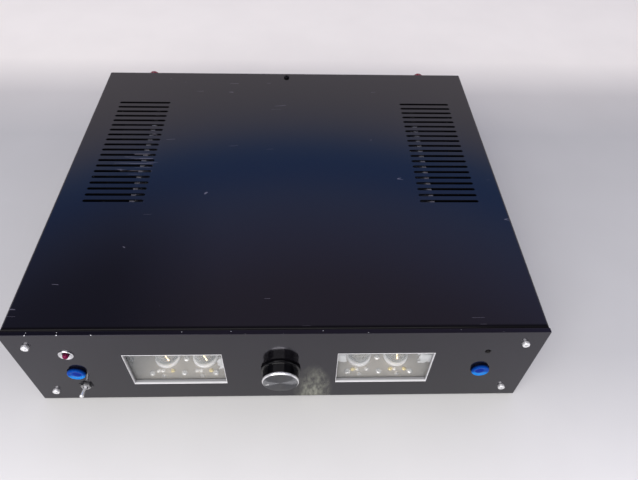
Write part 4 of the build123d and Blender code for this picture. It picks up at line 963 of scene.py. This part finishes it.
for name, finish, z in (("red", post_red, 88.5), ("black", post_black, 66.5)):
    for side, word in ((-1, "left"), (1, "right")):
        piece(f"post_grip_{name}_{word}", repeated(scalloped(), [(side * 169.0, 0, z)]), finish,
              f"post_{name}_{word}", [f"post_cap_{name}_{word}"])

# %% [markdown]
# ## Input sockets
# Each input socket is a gold-plated sleeve round an insulator. The sleeve is a ring surface,
# with its profile going out, round the lip and back inside.

# %% Input sockets
INPUTS = [(70 - 12, 0, 70), (70 + 12, 0, 70)]
shell = [(169.5, 4.1), (191.0, 4.15), (191.4, 4.05), (191.5, 3.9), (191.5, 3.5), (191.3, 3.3),
         (190.6, 3.22), (169.5, 3.22)]
piece("input_sleeves", repeated(turned(shell, ring=True), INPUTS), gold, "case", ["rca_shells"])
core = [(168.5, 1.72), (168.5, 3.15), (190.8, 3.15), (191.0, 3.05), (191.0, 1.9), (190.8, 1.72)]
piece("input_insulators", repeated(turned(core, ring=True), INPUTS), black_plastic, "case", ["rca_cores"])

# %% [markdown]
# ## Supply capacitors
# Each is a can in a shrunk plastic sleeve, rolled in at the top round a sunk end.

# %% Supply capacitors
can = [(16.6, 14.2), (17.0, 15.0), (64.5, 15.0), (65.6, 14.8), (66.2, 14.0), (66.4, 13.0), (66.0, 12.4),
       (66.0, 1.0)]
cans = [(side * 22, 126 + FACE_Y, 0) for side in (-1, 1)]
piece("capacitor_cans", repeated(turned(can, axis="Z"), cans), sleeve, "case", ["filter_capacitors"])

# %% [markdown]
# ## Floor
# The table is a pale grey laminate with a faint mottle, with a painted shadow round the amplifier,
# painted light at the front, and lighter far behind, where a pale wall follows in the real room.

# %% Floor
def table_top():
    """Pale laminate with a soft mottle of about 80 mm; a painted shadow round the amplifier and painted
    light at the front follow y from -0.5 to 0.5 m.
    """
    made, tree, shader = material("pale_table", "#c9cacf", Roughness=0.5)
    where = here(tree)
    depth = fade(tree, axes(tree, where)["Y"], -0.5, 0.5)
    # Painted shadow in the middle stops, round the amplifier; painted light in the first ones, at the front.
    tone_and_painted_shadow = ramp(tree, depth, (0.0, "#efeeec"), (0.15, "#e9e8e6"), (0.35, "#bcbcbc"), (0.7, "#aeaeae"),
                (0.8, "#bcbab8"), (0.9, "#e8e4de"), (1.0, "#ece8e2"))
    mottle = fade(tree, noise(tree, where, 12.0, 3.0), 0.0, 1.0, 0.96, 1.04)
    join(tree, vectors(tree, "MULTIPLY", tone_and_painted_shadow, mottle), shader, "Base Color")
    return made


floor_mesh = bpy.data.meshes.new("floor")
floor_mesh.from_pydata([(-6, -6, 0), (6, -6, 0), (6, 6, 0), (-6, 6, 0)], [], [(0, 1, 2, 3)])
floor_mesh.materials.append(table_top())
floor = bpy.data.objects.new("floor", floor_mesh)
bpy.context.scene.collection.objects.link(floor)
print("floor set")

# %% [markdown]
# ## Key lamp
# One very broad lamp stands in front, low enough to shine through the windows onto the shelf.
# A quaternion that points the lamp's -Z axis along its line of sight aims it.

# %% Key lamp
KEY_PLACE_M = Vector((-0.5, -2.0, 1.9))
KEY_TARGET_M = Vector((0, -0.2, 0.0))

light = bpy.data.lights.new("key", "AREA")
light.size = 3.0
light.energy = 105.0
light.color = colour("#fffcfa")[:3]
key = bpy.data.objects.new("key", light)
aim = (KEY_TARGET_M - KEY_PLACE_M).to_track_quat("-Z", "Y").to_matrix().to_4x4()
key.matrix_world = Matrix.Translation(KEY_PLACE_M) @ aim
bpy.context.scene.collection.objects.link(key)
print("key lamp:", light.energy, "W")

# %% [markdown]
# ## Surround
# The surround is a dome of light whose colour depends on height. Pale walls fill the low part
# behind the amplifier, a blue stretch follows, and it is dimmer above, most of all on the left.
# The cover's coat mirrors these stretches as soft bands, because each height is seen at its own
# depth on it.

# %% Surround
world = bpy.data.worlds.new("surround")
world.use_nodes = True
dome = world.node_tree
split = axes(dome, add(dome, "TexCoord").outputs["Generated"])
behind = ramp(dome, split["Z"], (0.0, "#dad1da"), (0.55, "#dad1da"), (0.59, "#cbc8e1"), (0.62, "#5c96e8"),
              (0.645, "#4a88ea"), (0.69, "#94a8e8"), (0.746, "#9c9dd0"), (0.80, "#9489a6"), (1.0, "#8b89a6"))
ahead = ramp(dome, split["Z"], (0.0, "#4a4a50"), (0.25, "#a0a0a6"), (0.55, "#f4f4f8"), (1.0, "#9a98a4"))
corner = maths(dome, "MULTIPLY", fade(dome, split["X"], -0.15, -0.32), fade(dome, split["Z"], 0.62, 0.74))
dimmed = blend(dome, corner, behind, "#5c5c7c")
sky = blend(dome, fade(dome, split["Y"], -0.1, 0.2), ahead, dimmed)
background = dome.nodes["Background"]
join(dome, sky, background, "Color")
background.inputs["Strength"].default_value = 1.0
bpy.context.scene.world = world
print("surround set")
